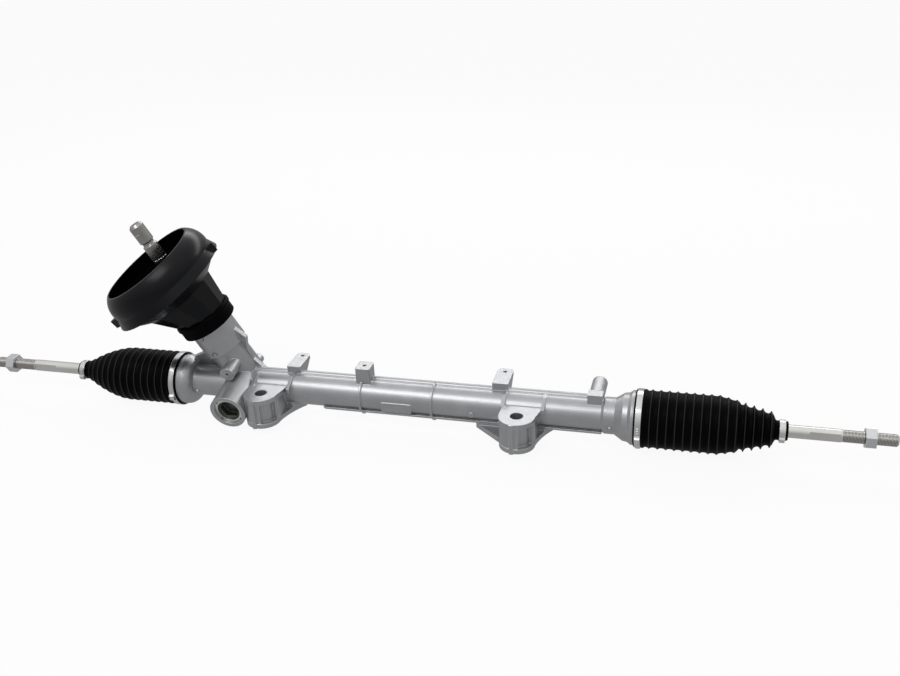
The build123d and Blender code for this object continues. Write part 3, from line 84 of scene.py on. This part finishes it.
def plug(tree, socket, value):
    if hasattr(value, "links"):
        tree.links.new(value, socket)
    else:
        socket.default_value = value


def mathNode(tree, operation, *values, clamp=False):
    node = tree.nodes.new("ShaderNodeMath")
    node.operation = operation
    node.use_clamp = clamp
    for index, value in enumerate(values):
        plug(tree, node.inputs[index], value)
    return node.outputs[0]


# a Mix node's sockets: 0 is the factor, 2 and 3 take floats, 6 and 7 take colours
def mixColour(tree, factor, first, second):
    node = tree.nodes.new("ShaderNodeMix")
    node.data_type = "RGBA"
    for index, value in ((0, factor), (6, first), (7, second)):
        plug(tree, node.inputs[index], value)
    return node.outputs[2]


noiseDetail = {"Coarse": 4.0, "Fine": 2.0, "toolLines": 3.0}
bevelSamples = 6


# soft mottle of a cast or moulded skin: two sizes of noise
def mottleGroup():
    group, entry, leave = newGroup(
        "mottle",
        [("Coarse", "NodeSocketFloat", 40.0), ("Fine", "NodeSocketFloat", 900.0),
         ("Share", "NodeSocketFloat", 0.5)],
        [("Value", "NodeSocketFloat"), ("Grain", "NodeSocketFloat")],
    )
    place = group.nodes.new("ShaderNodeTexCoord")
    sizes = []
    for label in ("Coarse", "Fine"):
        noise = group.nodes.new("ShaderNodeTexNoise")
        noise.inputs["Detail"].default_value = noiseDetail[label]
        group.links.new(place.outputs["Object"], noise.inputs["Vector"])
        group.links.new(entry.outputs[label], noise.inputs["Scale"])
        sizes.append(noise.outputs["Fac"])
    blend = group.nodes.new("ShaderNodeMix")
    for index, value in ((0, entry.outputs["Share"]), (2, sizes[0]), (3, sizes[1])):
        plug(group, blend.inputs[index], value)
    group.links.new(blend.outputs[0], leave.inputs["Value"])
    group.links.new(sizes[1], leave.inputs["Grain"])
    return group


# bright edges, partly wear and partly a painted highlight: where a rounded normal leaves the flat
# one
def edgeGroup():
    group, entry, leave = newGroup(
        "edgeWearAndHighlight",
        [("Radius", "NodeSocketFloat", 0.001), ("Strength", "NodeSocketFloat", 3.0)],
        [("Mask", "NodeSocketFloat"), ("Normal", "NodeSocketVector")],
    )
    soft = group.nodes.new("ShaderNodeBevel")
    soft.samples = bevelSamples
    group.links.new(entry.outputs["Radius"], soft.inputs["Radius"])
    flat = group.nodes.new("ShaderNodeNewGeometry")
    compare = group.nodes.new("ShaderNodeVectorMath")
    compare.operation = "DOT_PRODUCT"
    group.links.new(soft.outputs[0], compare.inputs[0])
    group.links.new(flat.outputs["True Normal"], compare.inputs[1])
    away = mathNode(group, "SUBTRACT", 1.0, compare.outputs["Value"])
    mask = mathNode(group, "MULTIPLY", away, entry.outputs["Strength"], clamp=True)
    group.links.new(mask, leave.inputs["Mask"])
    group.links.new(soft.outputs[0], leave.inputs["Normal"])
    return group


# fine tool lines that run round a turned piece: noise stretched across one axis
def turnedGroup():
    group, entry, leave = newGroup(
        "toolLines",
        [("Along", "NodeSocketVector", (900.0, 12.0, 12.0))],
        [("Value", "NodeSocketFloat")],
    )
    place = group.nodes.new("ShaderNodeTexCoord")
    stretch = group.nodes.new("ShaderNodeVectorMath")
    stretch.operation = "MULTIPLY"
    group.links.new(place.outputs["Object"], stretch.inputs[0])
    group.links.new(entry.outputs["Along"], stretch.inputs[1])
    noise = group.nodes.new("ShaderNodeTexNoise")
    noise.inputs["Scale"].default_value = 1.0
    noise.inputs["Detail"].default_value = noiseDetail["toolLines"]
    group.links.new(stretch.outputs[0], noise.inputs["Vector"])
    group.links.new(noise.outputs["Fac"], leave.inputs["Value"])
    return group


mottle = mottleGroup()
edgeWearAndHighlight = edgeGroup()
toolLines = turnedGroup()


def useGroup(tree, group, **values):
    node = tree.nodes.new("ShaderNodeGroup")
    node.node_tree = group
    for label, value in values.items():
        node.inputs[label].default_value = value
    return node


# what every finish shares: the fine noise's share, bump depth in metres, and how far tool lines go
skinForm = {"fineShare": 0.4, "bumpDepth": 0.0003, "specular": 0.5, "edgeStrength": 3.0,
            "lineHeight": 1.5, "lineRoughSpread": 0.12}


def finish(name, look):
    material = bpy.data.materials.new(name)
    material.use_nodes = True
    tree = material.node_tree
    shader = tree.nodes["Principled BSDF"]
    shader.inputs["Metallic"].default_value = look["metal"]
    shader.inputs["Specular IOR Level"].default_value = look.get("specular", skinForm["specular"])
    skin = useGroup(tree, mottle, Coarse=look["coarse"], Fine=look["fine"],
                    Share=skinForm["fineShare"])
    colour = mixColour(tree, skin.outputs["Value"], (*look["dark"], 1), (*look["light"], 1))
    height, pattern = skin.outputs["Grain"], skin.outputs["Value"]
    spread = look.get("roughSpread", skinForm["lineRoughSpread"])
    if "lines" in look:
        pattern = useGroup(tree, toolLines, Along=look["lines"]).outputs[0]
        height = mathNode(tree, "MULTIPLY_ADD", pattern, skinForm["lineHeight"], height)
    rough = mathNode(tree, "MULTIPLY_ADD", pattern, spread, look["rough"] - spread / 2)
    bump = tree.nodes.new("ShaderNodeBump")
    bump.inputs["Strength"].default_value = look["bump"]
    bump.inputs["Distance"].default_value = skinForm["bumpDepth"]
    tree.links.new(height, bump.inputs["Height"])
    # edges painted towards edgeColour: partly wear, partly a painted highlight along every edge
    if "edge" in look:
        strength = look.get("edgeStrength", skinForm["edgeStrength"])
        wearAndHighlight = useGroup(tree, edgeWearAndHighlight, Radius=look["edge"], Strength=strength)
        colour = mixColour(tree, wearAndHighlight.outputs["Mask"], colour, (*look["edgeColour"], 1))
        tree.links.new(wearAndHighlight.outputs["Normal"], bump.inputs["Normal"])
    tree.links.new(colour, shader.inputs["Base Color"])
    tree.links.new(rough, shader.inputs["Roughness"])
    tree.links.new(bump.outputs[0], shader.inputs["Normal"])
    return material


# noise sizes are counts per metre; edge is the radius in metres painted bright, as wear and as a
# painted edge highlight
looks = {
    "castAluminium": {
        "metal": 0.75, "dark": (0.30, 0.305, 0.315), "light": (0.54, 0.545, 0.56),
        "rough": 0.34, "roughSpread": 0.20, "coarse": 38.0, "fine": 1400.0, "bump": 0.35,
        "edge": 0.0011, "edgeColour": (0.86, 0.87, 0.88), "edgeStrength": 3.4},
    # painted shade: a near-black finish for the ejector rings, standing in for the shade in their
    # grooves
    "paintedGrooveShade": {
        "metal": 0.5, "dark": (0.03, 0.03, 0.033), "light": (0.09, 0.09, 0.095),
        "rough": 0.5, "roughSpread": 0.2, "coarse": 60.0, "fine": 1400.0, "bump": 0.2},
    "bootRubber": {
        "metal": 0.0, "dark": (0.0008, 0.0008, 0.001), "light": (0.002, 0.002, 0.0024),
        "rough": 0.45, "roughSpread": 0.14, "coarse": 70.0, "fine": 1800.0, "bump": 0.10,
        "specular": 0.03},
    # a painted highlight: crest faces lighter than the boot, standing in for light on each crest
    "paintedCrestHighlight": {
        "metal": 0.0, "dark": (0.005, 0.005, 0.005), "light": (0.040, 0.040, 0.039),
        "rough": 0.40, "roughSpread": 0.14, "coarse": 55.0, "fine": 1800.0, "bump": 0.10,
        "specular": 0.10},
    "sealPlastic": {
        "metal": 0.0, "dark": (0.0012, 0.0014, 0.0022), "light": (0.0035, 0.004, 0.006),
        "rough": 0.27, "roughSpread": 0.10, "coarse": 26.0, "fine": 1500.0, "bump": 0.06,
        "specular": 0.20},
    "brightSteel": {
        "metal": 1.0, "dark": (0.56, 0.55, 0.53), "light": (0.86, 0.85, 0.83),
        "rough": 0.16, "coarse": 25.0, "fine": 900.0, "bump": 0.05, "lines": (1500.0, 6.0, 6.0),
        "edge": 0.0006, "edgeColour": (0.95, 0.95, 0.95)},
    "threadSteel": {
        "metal": 1.0, "dark": (0.10, 0.095, 0.085), "light": (0.30, 0.29, 0.27),
        "rough": 0.26, "roughSpread": 0.14, "coarse": 40.0, "fine": 1100.0, "bump": 0.08,
        "edge": 0.0003, "edgeColour": (0.80, 0.79, 0.77), "edgeStrength": 2.0},
    "zincSteel": {
        "metal": 1.0, "dark": (0.52, 0.53, 0.55), "light": (0.80, 0.81, 0.83),
        "rough": 0.24, "roughSpread": 0.16, "coarse": 60.0, "fine": 900.0, "bump": 0.10,
        "edge": 0.0008, "edgeColour": (0.95, 0.95, 0.96), "edgeStrength": 4.0},
    "bandSteel": {
        "metal": 1.0, "dark": (0.50, 0.50, 0.50), "light": (0.84, 0.84, 0.84),
        "rough": 0.20, "roughSpread": 0.14, "coarse": 40.0, "fine": 1200.0, "bump": 0.12,
        "edge": 0.0006, "edgeColour": (0.95, 0.95, 0.95), "edgeStrength": 4.0},
    "forgedSteel": {
        "metal": 1.0, "dark": (0.20, 0.19, 0.18), "light": (0.50, 0.49, 0.47),
        "rough": 0.24, "roughSpread": 0.16, "coarse": 60.0, "fine": 1200.0, "bump": 0.12,
        "edge": 0.0009, "edgeColour": (0.95, 0.95, 0.95), "edgeStrength": 4.0},
    "plugSteel": {
        "metal": 0.8, "dark": (0.030, 0.038, 0.032), "light": (0.13, 0.155, 0.132),
        "rough": 0.30, "roughSpread": 0.2, "coarse": 80.0, "fine": 1300.0, "bump": 0.25,
        "edge": 0.0008, "edgeColour": (0.40, 0.44, 0.40)},
    "bearingSteel": {
        "metal": 1.0, "dark": (0.60, 0.60, 0.62), "light": (0.80, 0.80, 0.82),
        "rough": 0.12, "roughSpread": 0.06, "coarse": 30.0, "fine": 800.0, "bump": 0.03},
    "springSteel": {
        "metal": 1.0, "dark": (0.20, 0.20, 0.21), "light": (0.40, 0.40, 0.42),
        "rough": 0.30, "roughSpread": 0.1, "coarse": 60.0, "fine": 900.0, "bump": 0.08},
    "bushPolymer": {
        "metal": 0.0, "dark": (0.05, 0.045, 0.04), "light": (0.11, 0.10, 0.09),
        "rough": 0.5, "roughSpread": 0.12, "coarse": 60.0, "fine": 1200.0, "bump": 0.1},
    "seatPolymer": {
        "metal": 0.0, "dark": (0.62, 0.59, 0.54), "light": (0.80, 0.78, 0.73),
        "rough": 0.42, "roughSpread": 0.1, "coarse": 50.0, "fine": 1200.0, "bump": 0.08},
    "bronze": {
        "metal": 1.0, "dark": (0.34, 0.24, 0.12), "light": (0.55, 0.40, 0.20),
        "rough": 0.36, "roughSpread": 0.14, "coarse": 60.0, "fine": 1000.0, "bump": 0.12},
}
finishes = {name: finish(name, look) for name, look in looks.items()}
slotFinish = {
    "cast_aluminium": "castAluminium", "black_rubber": "bootRubber", "black_plastic": "sealPlastic",
    "bright_steel": "brightSteel", "zinc_steel": "zincSteel", "band_steel": "bandSteel",
    "forged_steel": "forgedSteel", "plug_steel": "plugSteel", "bearing_steel": "bearingSteel",
    "spring_steel": "springSteel", "bush_polymer": "bushPolymer", "seat_polymer": "seatPolymer",
    "bronze": "bronze"}
nodeFinish = {"yoke_lock_ring": "brightSteel"}  # turned and left bright, where its slot is plated
for part in frame["record"]["subparts"]:
    node = frame["nodes"][part["node"]]
    look = nodeFinish.get(part["node"], slotFinish[part["material_slot"]])
    node.data.materials.clear()
    node.data.materials.append(finishes[look])
print("finishes ready")

mergeDistance = 1e-6


def makePiece(name, bm, material):
    bmesh.ops.remove_doubles(bm, verts=bm.verts, dist=mergeDistance)
    bmesh.ops.recalc_face_normals(bm, faces=bm.faces)
    mesh = bpy.data.meshes.new(name)
    bm.to_mesh(mesh)
    bm.free()
    for face in mesh.polygons:
        face.use_smooth = True
    piece = bpy.data.objects.new(name, mesh)
    bpy.context.scene.collection.objects.link(piece)
    mesh.materials.append(finishes[material])
    return piece


def layProfile(bm, points, closed=False):
    verts = [bm.verts.new(point) for point in points]
    following = verts[1:] + verts[:1] if closed else verts[1:]
    return verts + [bm.edges.new(pair) for pair in zip(verts, following)]


def spinProfile(profile, axisPoint, axis, side, steps):
    bm = bmesh.new()
    line = layProfile(bm, [axisPoint + axis * along + side * out for along, out in profile])
    bmesh.ops.spin(bm, geom=line, cent=axisPoint, axis=axis, angle=wholeTurn, steps=steps,
                   use_merge=True)
    return bm


# start and length are counted outwards from the rack's middle; the last ridges may be deeper
boots = {
    "left": {"start": 0.2975, "length": 0.148, "ridges": 13, "depth": 0.0012,
             "endDepth": 0.0012, "endRadius": 0.0118, "power": 1.6},
    "right": {"start": 0.2975, "length": 0.162, "ridges": 15, "depth": 0.0018,
              "endDepth": 0.0040, "endRadius": 0.0200, "power": 1.1},
}
bootForm = {"crest": 0.0356, "bead": 0.0350, "taper": 0.066, "sleeve": 0.0115,
            "sleeveLength": 0.013, "sleeveSoft": 0.001, "rodBore": 0.0081, "collar": 0.014,
            "shoulderStart": 0.0102, "shoulderEnd": 0.002, "shoulderDrop": 0.0002,
            "lastGap": 0.0015, "endRidges": 4, "crestShare": 0.07, "steps": 96}
# steps along and out: the mouth from the bead, the foot of the sleeve from the sleeve
mouthOutline = ((0.0, -0.003), (0.0004, -0.0004), (0.001, 0.0), (0.0092, 0.0))
sleeveFoot = {"rise": 0.0012, "softGap": 0.0006, "softRise": 0.0002}
# one ridge: share of its step along, share of its depth up
ridgeShape = ((0.0, 0.0), (0.22, 0.12), (0.36, 0.45), (0.44, 0.88), (0.47, 0.98), (0.53, 0.98),
              (0.56, 0.88), (0.64, 0.45), (0.78, 0.12))


def crestRadius(boot, fromSleeve):
    share = max(0.0, 1 - fromSleeve / bootForm["taper"])
    return bootForm["crest"] - (bootForm["crest"] - boot["endRadius"]) * share ** boot["power"]


def ridgeSpan(boot):
    low = boot["start"] + bootForm["collar"]
    high = boot["start"] + boot["length"] - bootForm["lastGap"]
    return low, high, (high - low) / boot["ridges"]


def bootProfile(boot):
    sleeveStart = boot["start"] + boot["length"]
    sleeveEnd = sleeveStart + bootForm["sleeveLength"]
    ridgeStart, ridgeEnd, step = ridgeSpan(boot)
    shoulder, sleeve = bootForm["crest"] - bootForm["shoulderDrop"], bootForm["sleeve"]
    outline = [(boot["start"] + along, bootForm["bead"] + out) for along, out in mouthOutline]
    outline += [(boot["start"] + bootForm["shoulderStart"], shoulder),
                (ridgeStart - bootForm["shoulderEnd"], shoulder)]
    for ridge in range(boot["ridges"]):
        atEnd = ridge >= boot["ridges"] - bootForm["endRidges"]
        depth = boot["endDepth"] if atEnd else boot["depth"]
        for share, rise in ridgeShape:
            x = ridgeStart + step * (ridge + share)
            radius = crestRadius(boot, sleeveStart - x) - depth * (1 - rise)
            outline.append((x, max(radius, sleeve)))
    outline += [(ridgeEnd, sleeve + sleeveFoot["rise"]),
                (sleeveStart - sleeveFoot["softGap"], sleeve + sleeveFoot["softRise"]),
                (sleeveStart, sleeve),
                (sleeveEnd - bootForm["sleeveSoft"], sleeve),
                (sleeveEnd, sleeve - bootForm["sleeveSoft"]),
                (sleeveEnd, bootForm["rodBore"])]
    return outline


# the crests are a second finish on the same skin: a lighter colour painted along each crest as its
# highlight
def markCrests(bm, boot):
    low, high, step = ridgeSpan(boot)
    for face in bm.faces:
        ridge = (abs(face.calc_center_median().x - rackAxis["middle"]) - low) / step
        if 0 < ridge < boot["ridges"] and abs(ridge % 1 - 0.5) < bootForm["crestShare"]:
            face.material_index = 1


def makeBoot(side):
    axis = Vector((outwards[side], 0, 0))
    bm = spinProfile(bootProfile(boots[side]), onAxis(side, 0), axis, Vector((0, 0, 1)),
                     bootForm["steps"])
    markCrests(bm, boots[side])
    return bm


# a boot is one form cut in three lengths: the bellows, an elbow and a cuff; each cut, at a bend, is
# counted from the rack's middle
bootBends = {"slideFrom": 0.308, "steerFrom": 0.400, "liftFrom": 0.414, "settle": 0.002}


def dressBoot(side):
    sign = outwards[side]
    steerFrom, liftFrom = (onAxis(side, bootBends[bend]) for bend in ("steerFrom", "liftFrom"))
    lengths = (("Bellows", None, steerFrom), ("Elbow", steerFrom, liftFrom),
               ("Cuff", liftFrom, None))
    made = []
    for label, low, high in lengths:
        bm = makeBoot(side)
        for place, facing in ((low, -sign), (high, sign)):
            if place is not None:
                bmesh.ops.bisect_plane(bm, geom=bm.verts[:] + bm.edges[:] + bm.faces[:],
                                       plane_co=place, plane_no=(facing, 0, 0), clear_outer=True)
        piece = makePiece(side + label, bm, "bootRubber")
        # second slot: the painted crest highlight
        piece.data.materials.append(finishes["paintedCrestHighlight"])
        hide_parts(side + "_boot")
        made.append(piece)
    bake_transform(made[0])
    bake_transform(made[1])
    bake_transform(made[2])


for side in ("left", "right"):
    dressBoot(side)
print("boots ready")

# rolled thread at each rod's tip: one ridge wound along the rod, steps counted for one turn
threads = {"tip": 0.592, "fromTip": 0.0022, "length": 0.0575, "pitch": 0.0015, "core": 0.0069,
           "crest": 0.00728, "halfFoot": 0.00072, "halfCrest": 0.00012, "steps": 28}


def makeThread(side):
    turns = threads["length"] / threads["pitch"]
    steps = int(turns * threads["steps"])
    foot = onAxis(side, threads["tip"] - threads["fromTip"])
    ridge = ((-threads["halfFoot"], threads["core"]), (-threads["halfCrest"], threads["crest"]),
             (threads["halfCrest"], threads["crest"]), (threads["halfFoot"], threads["core"]))
    bm = bmesh.new()
    line = layProfile(bm, [foot + Vector((along, 0, out)) for along, out in ridge])
    stepBack = Vector((-outwards[side] * threads["length"] / steps, 0, 0))
    bmesh.ops.spin(bm, geom=line, cent=foot, axis=(1, 0, 0), dvec=stepBack,
                   angle=wholeTurn * turns, steps=steps)
    piece = makePiece(side + "Thread", bm, "threadSteel")
    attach(piece, side + "_rod")


for side in ("left", "right"):
    makeThread(side)
print("threads ready")

# ear clamps: a band, a pinched ear, the tail that laps over the band, and hooks that hold it
# a clamp starts an inset past a share of its boot's length; lean is its ear's angle in degrees
clamps = {
    "large": {"bootShare": 0.0, "inset": 0.002, "radius": 0.03502, "lean": 196.0, "scale": 0.001},
    "small": {"bootShare": 1.0, "inset": 0.003, "radius": 0.0118, "lean": 205.0, "scale": 0.0008},
}
bandForm = {"width": 0.007, "wall": 0.0009, "soft": 0.00022, "stepsPerRadian": 16, "tail": 1.1,
            "tailInset": 0.001, "earInset": 0.0004, "stripWall": 0.0007, "sharpAngle": 32,
            "hookWidth": 0.0022, "hookScale": 0.001, "hooks": (-14.45, -19.55, -24.65)}
earOutline = ((-5.6, 0.5), (-4.4, 0.8), (-3.7, 2.4), (-3.0, 3.7), (-1.9, 4.1), (-0.9, 3.5),
              (-0.3, 2.3), (0.3, 2.3), (0.9, 3.5), (1.9, 4.1), (3.0, 3.7), (3.7, 2.4),
              (4.4, 0.8), (5.6, 0.5))
hookOutline = ((-0.9, 0.5), (-0.7, 1.5), (0.2, 1.7), (0.8, 1.4), (0.9, 0.5))


def bandRing(bm, foot, axis, low, high, radius, side, angle):
    soft, top = bandForm["soft"], radius + bandForm["wall"]
    outline = [(low, radius), (low, top - soft), (low + soft, top), (high - soft, top),
               (high, top - soft), (high, radius)]
    line = layProfile(bm, [foot + axis * along + side * out for along, out in outline], closed=True)
    bmesh.ops.spin(bm, geom=line, cent=foot, axis=axis, angle=angle,
                   steps=int(bandForm["stepsPerRadian"] * angle), use_merge=angle == wholeTurn)


# a folded strip laid across the band, its outline in steps of the given scale
def addStrip(bm, outline, edge, axis, out, radius, scale, width):
    strip = bmesh.new()
    across = Vector((1, 0, 0)).cross(out)
    line = layProfile(strip, [edge + across * along * scale + out * (radius + rise * scale)
                              for along, rise in outline])
    ridge = [item for item in line if isinstance(item, bmesh.types.BMEdge)]
    swept = bmesh.ops.extrude_edge_only(strip, edges=ridge)["geom"]
    raised = [item for item in swept if isinstance(item, bmesh.types.BMVert)]
    bmesh.ops.translate(strip, verts=raised, vec=axis * width)
    bmesh.ops.recalc_face_normals(strip, faces=strip.faces)
    bmesh.ops.solidify(strip, geom=strip.faces[:], thickness=bandForm["stripWall"])
    spare = bpy.data.meshes.new("strip")
    strip.to_mesh(spare)
    strip.free()
    bm.from_mesh(spare)
    bpy.data.meshes.remove(spare)


def leanVector(degrees):
    return Vector((0, cos(radians(degrees)), sin(radians(degrees))))


def makeClamp(side, size):
    clamp, boot = clamps[size], boots[side]
    start = boot["start"] + clamp["bootShare"] * boot["length"] + clamp["inset"]
    width, radius = bandForm["width"], clamp["radius"]
    foot, axis = onAxis(side, 0), Vector((outwards[side], 0, 0))
    out = leanVector(clamp["lean"])
    bm = bmesh.new()
    bandRing(bm, foot, axis, start, start + width, radius, out, wholeTurn)
    bandRing(bm, foot, axis, start + bandForm["tailInset"], start + width - bandForm["tailInset"],
             radius + bandForm["wall"], out, bandForm["tail"])
    edge = foot + axis * (start + bandForm["earInset"])
    addStrip(bm, earOutline, edge, axis, out, radius, clamp["scale"],
             width - 2 * bandForm["earInset"])
    if size == "large":
        place = foot + axis * (start + (width - bandForm["hookWidth"]) / 2)
        for hook in bandForm["hooks"]:
            addStrip(bm, hookOutline, place, axis, leanVector(clamp["lean"] + hook), radius,
                     bandForm["hookScale"], bandForm["hookWidth"])
    piece = makePiece(side + size.capitalize() + "Clamp", bm, "bandSteel")
    piece.data.set_sharp_from_angle(angle=radians(bandForm["sharpAngle"]))
    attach(piece, "housing" if size == "large" else side + "_rod")
    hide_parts(side + "_" + size + "_clamp")


for side in ("left", "right"):
    for size in ("large", "small"):
        makeClamp(side, size)
print("clamps ready")

# small cast marks on the housing: open ejector rings on the tower, coloured dark as painted shade
# of their grooves, and round nubs on the end domes
rings = {
    "upperRing": {"place": (-0.24539, 0.01307, 0.1041), "outward": (-0.06, -0.975, -0.215),
                  "turn": 40.0},
    "lowerRing": {"place": (-0.23201, 0.01771, 0.07988), "outward": (0.001, -0.981, -0.192),
                  "turn": 120.0},
}
ringForm = {"radius": 0.0034, "wire": 0.00042, "sweep": 250.0, "wireSides": 10, "steps": 36}
nubs = {
    "leftNub": {"place": (-0.26962, 0.0224, 0.02065), "outward": (-0.10, -0.90, -0.42),
                "radius": 0.0030, "height": 0.0022},
    "rightNub": {"place": (0.27472, 0.01936, 0.02205), "outward": (0.0, -0.956, -0.295),
                 "radius": 0.0024, "height": 0.0018},
}
nubSteps = 32
# shares of a nub's height along and of its radius out
nubOutline = ((-0.6, 0.0), (-0.6, 1.25), (0.0, 1.12), (0.25, 1.0), (0.75, 0.92), (0.93, 0.72),
              (1.0, 0.4), (1.0, 0.0))


def finishMark(name, bm, material):
    piece = makePiece(name, bm, material)
    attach(piece, "housing")


def makeRing(name, ring):
    place, outward = Vector(ring["place"]), Vector(ring["outward"]).normalized()
    side = outward.orthogonal().normalized()
    side.rotate(Matrix.Rotation(radians(ring["turn"]), 3, outward))
    bm = bmesh.new()
    wire = bmesh.ops.create_circle(bm, segments=ringForm["wireSides"], radius=ringForm["wire"])
    stand = Matrix((side, outward, side.cross(outward))).transposed().to_4x4()
    shift = Matrix.Translation(place + side * ringForm["radius"])
    bmesh.ops.transform(bm, matrix=shift @ stand, verts=wire["verts"])
    bmesh.ops.spin(bm, geom=bm.verts[:] + bm.edges[:], cent=place, axis=outward,
                   angle=radians(ringForm["sweep"]), steps=ringForm["steps"])
    bmesh.ops.holes_fill(bm, edges=bm.edges[:], sides=0)
    # the ring's dark finish is painted groove shade
    finishMark(name, bm, "paintedGrooveShade")


def makeNub(name, nub):
    outward = Vector(nub["outward"]).normalized()
    outline = [(nub["height"] * along, nub["radius"] * out) for along, out in nubOutline]
    bm = spinProfile(outline, Vector(nub["place"]), outward, outward.orthogonal().normalized(),
                     nubSteps)
    finishMark(name, bm, "castAluminium")


for name, ring in rings.items():
    makeRing(name, ring)
for name, nub in nubs.items():
    makeNub(name, nub)
print("cast marks ready")

# the camera sees white paper and a white room; metal sees both dimmer, and brighter overhead
studio = {"floorSize": 6.0, "floorGap": 0.0005, "floorColour": (0.92, 0.92, 0.92, 1),
          "floorRough": 0.9, "room": 0.42, "paper": 0.93, "floorInMetal": 0.42,
          "horizonInMetal": 0.42, "overheadInMetal": 1.0}


def makeFloor():
    bm = bmesh.new()
    bmesh.ops.create_grid(bm, x_segments=2, y_segments=2, size=studio["floorSize"])
    bmesh.ops.translate(bm, verts=bm.verts, vec=(0, 0, cadLow[2] - studio["floorGap"]))
    mesh = bpy.data.meshes.new("floor")
    bm.to_mesh(mesh)
    bm.free()
    floor = bpy.data.objects.new("floor", mesh)
    bpy.context.scene.collection.objects.link(floor)
    material = bpy.data.materials.new("floorPaper")
    material.use_nodes = True
    tree = material.node_tree
    shader = tree.nodes["Principled BSDF"]
    shader.inputs["Base Color"].default_value = studio["floorColour"]
    shader.inputs["Roughness"].default_value = studio["floorRough"]
    glow = tree.nodes.new("ShaderNodeEmission")
    path = tree.nodes.new("ShaderNodeLightPath")
    fromCamera, fromMetal = path.outputs["Is Camera Ray"], path.outputs["Is Glossy Ray"]
    level = mathNode(tree, "MULTIPLY_ADD", fromMetal, studio["floorInMetal"], fromCamera)
    tree.links.new(level, glow.inputs["Strength"])
    seen = mathNode(tree, "MAXIMUM", fromCamera, fromMetal)
    seen = mathNode(tree, "MULTIPLY", seen, studio["paper"])
    mix = tree.nodes.new("ShaderNodeMixShader")
    for index, socket in enumerate((seen, shader.outputs[0], glow.outputs[0])):
        tree.links.new(socket, mix.inputs[index])
    tree.links.new(mix.outputs[0], tree.nodes["Material Output"].inputs["Surface"])
    mesh.materials.append(material)


def makeWorld():
    world = bpy.data.worlds.new("room")
    bpy.context.scene.world = world
    world.use_nodes = True
    tree = world.node_tree
    back = tree.nodes["Background"]
    back.inputs["Color"].default_value = (1, 1, 1, 1)
    path = tree.nodes.new("ShaderNodeLightPath")
    place = tree.nodes.new("ShaderNodeTexCoord")
    split = tree.nodes.new("ShaderNodeSeparateXYZ")
    tree.links.new(place.outputs["Generated"], split.inputs[0])
    sky = mathNode(tree, "MULTIPLY_ADD", split.outputs["Z"],
                   studio["overheadInMetal"] - studio["horizonInMetal"],
                   studio["horizonInMetal"] - studio["room"])
    clear = mathNode(tree, "MAXIMUM", path.outputs["Is Camera Ray"],
                     path.outputs["Is Transmission Ray"])
    strength = mathNode(tree, "MULTIPLY_ADD", clear, 1 - studio["room"], studio["room"])
    total = mathNode(tree, "MULTIPLY_ADD", path.outputs["Is Glossy Ray"], sky, strength)
    tree.links.new(total, back.inputs["Strength"])


lamps = {
    "keySoftbox": {"place": (-0.5, -0.9, 1.6), "aim": (0, 0, 0), "size": (1.2, 0.7),
                   "power": 10.0},
    "backStrip": {"place": (0.1, 1.35, 0.95), "aim": (0, 0.05, 0), "size": (2.4, 0.4),
                  "power": 9.5},
}


def makeLamp(name, form):
    light = bpy.data.lights.new(name, "AREA")
    light.shape = "RECTANGLE"
    light.size, light.size_y = form["size"]
    light.energy = form["power"]
    lamp = bpy.data.objects.new(name, light)
    lamp.location = form["place"]
    facing = Vector(form["aim"]) - Vector(form["place"])
    lamp.rotation_euler = facing.to_track_quat("-Z", "Y").to_euler()
    bpy.context.scene.collection.objects.link(lamp)


cameraForm = {"place": (0.3838, -1.0292, 0.6629), "right": (0.96638, 0.25261, -0.04792),
              "up": (-0.06985, 0.43731, 0.89660), "away": (-0.24744, 0.86311, -0.44025),
              "lens": 40.76, "sensor": 36.0, "farClip": 50.0}


def makeCamera():
    camera = bpy.data.objects.new("camera", bpy.data.cameras.new("camera"))
    camera.data.lens = cameraForm["lens"]
    camera.data.sensor_width = cameraForm["sensor"]
    camera.data.clip_end = cameraForm["farClip"]
    towards = [-value for value in cameraForm["away"]]
    turn = Matrix((cameraForm["right"], cameraForm["up"], towards)).transposed()
    camera.matrix_world = Matrix.Translation(cameraForm["place"]) @ turn.to_4x4()
    bpy.context.scene.collection.objects.link(camera)
    bpy.context.scene.camera = camera


makeFloor()
makeWorld()
for name, form in lamps.items():
    makeLamp(name, form)
makeCamera()
bpy.context.scene.view_settings.view_transform = "Standard"
print("studio ready")
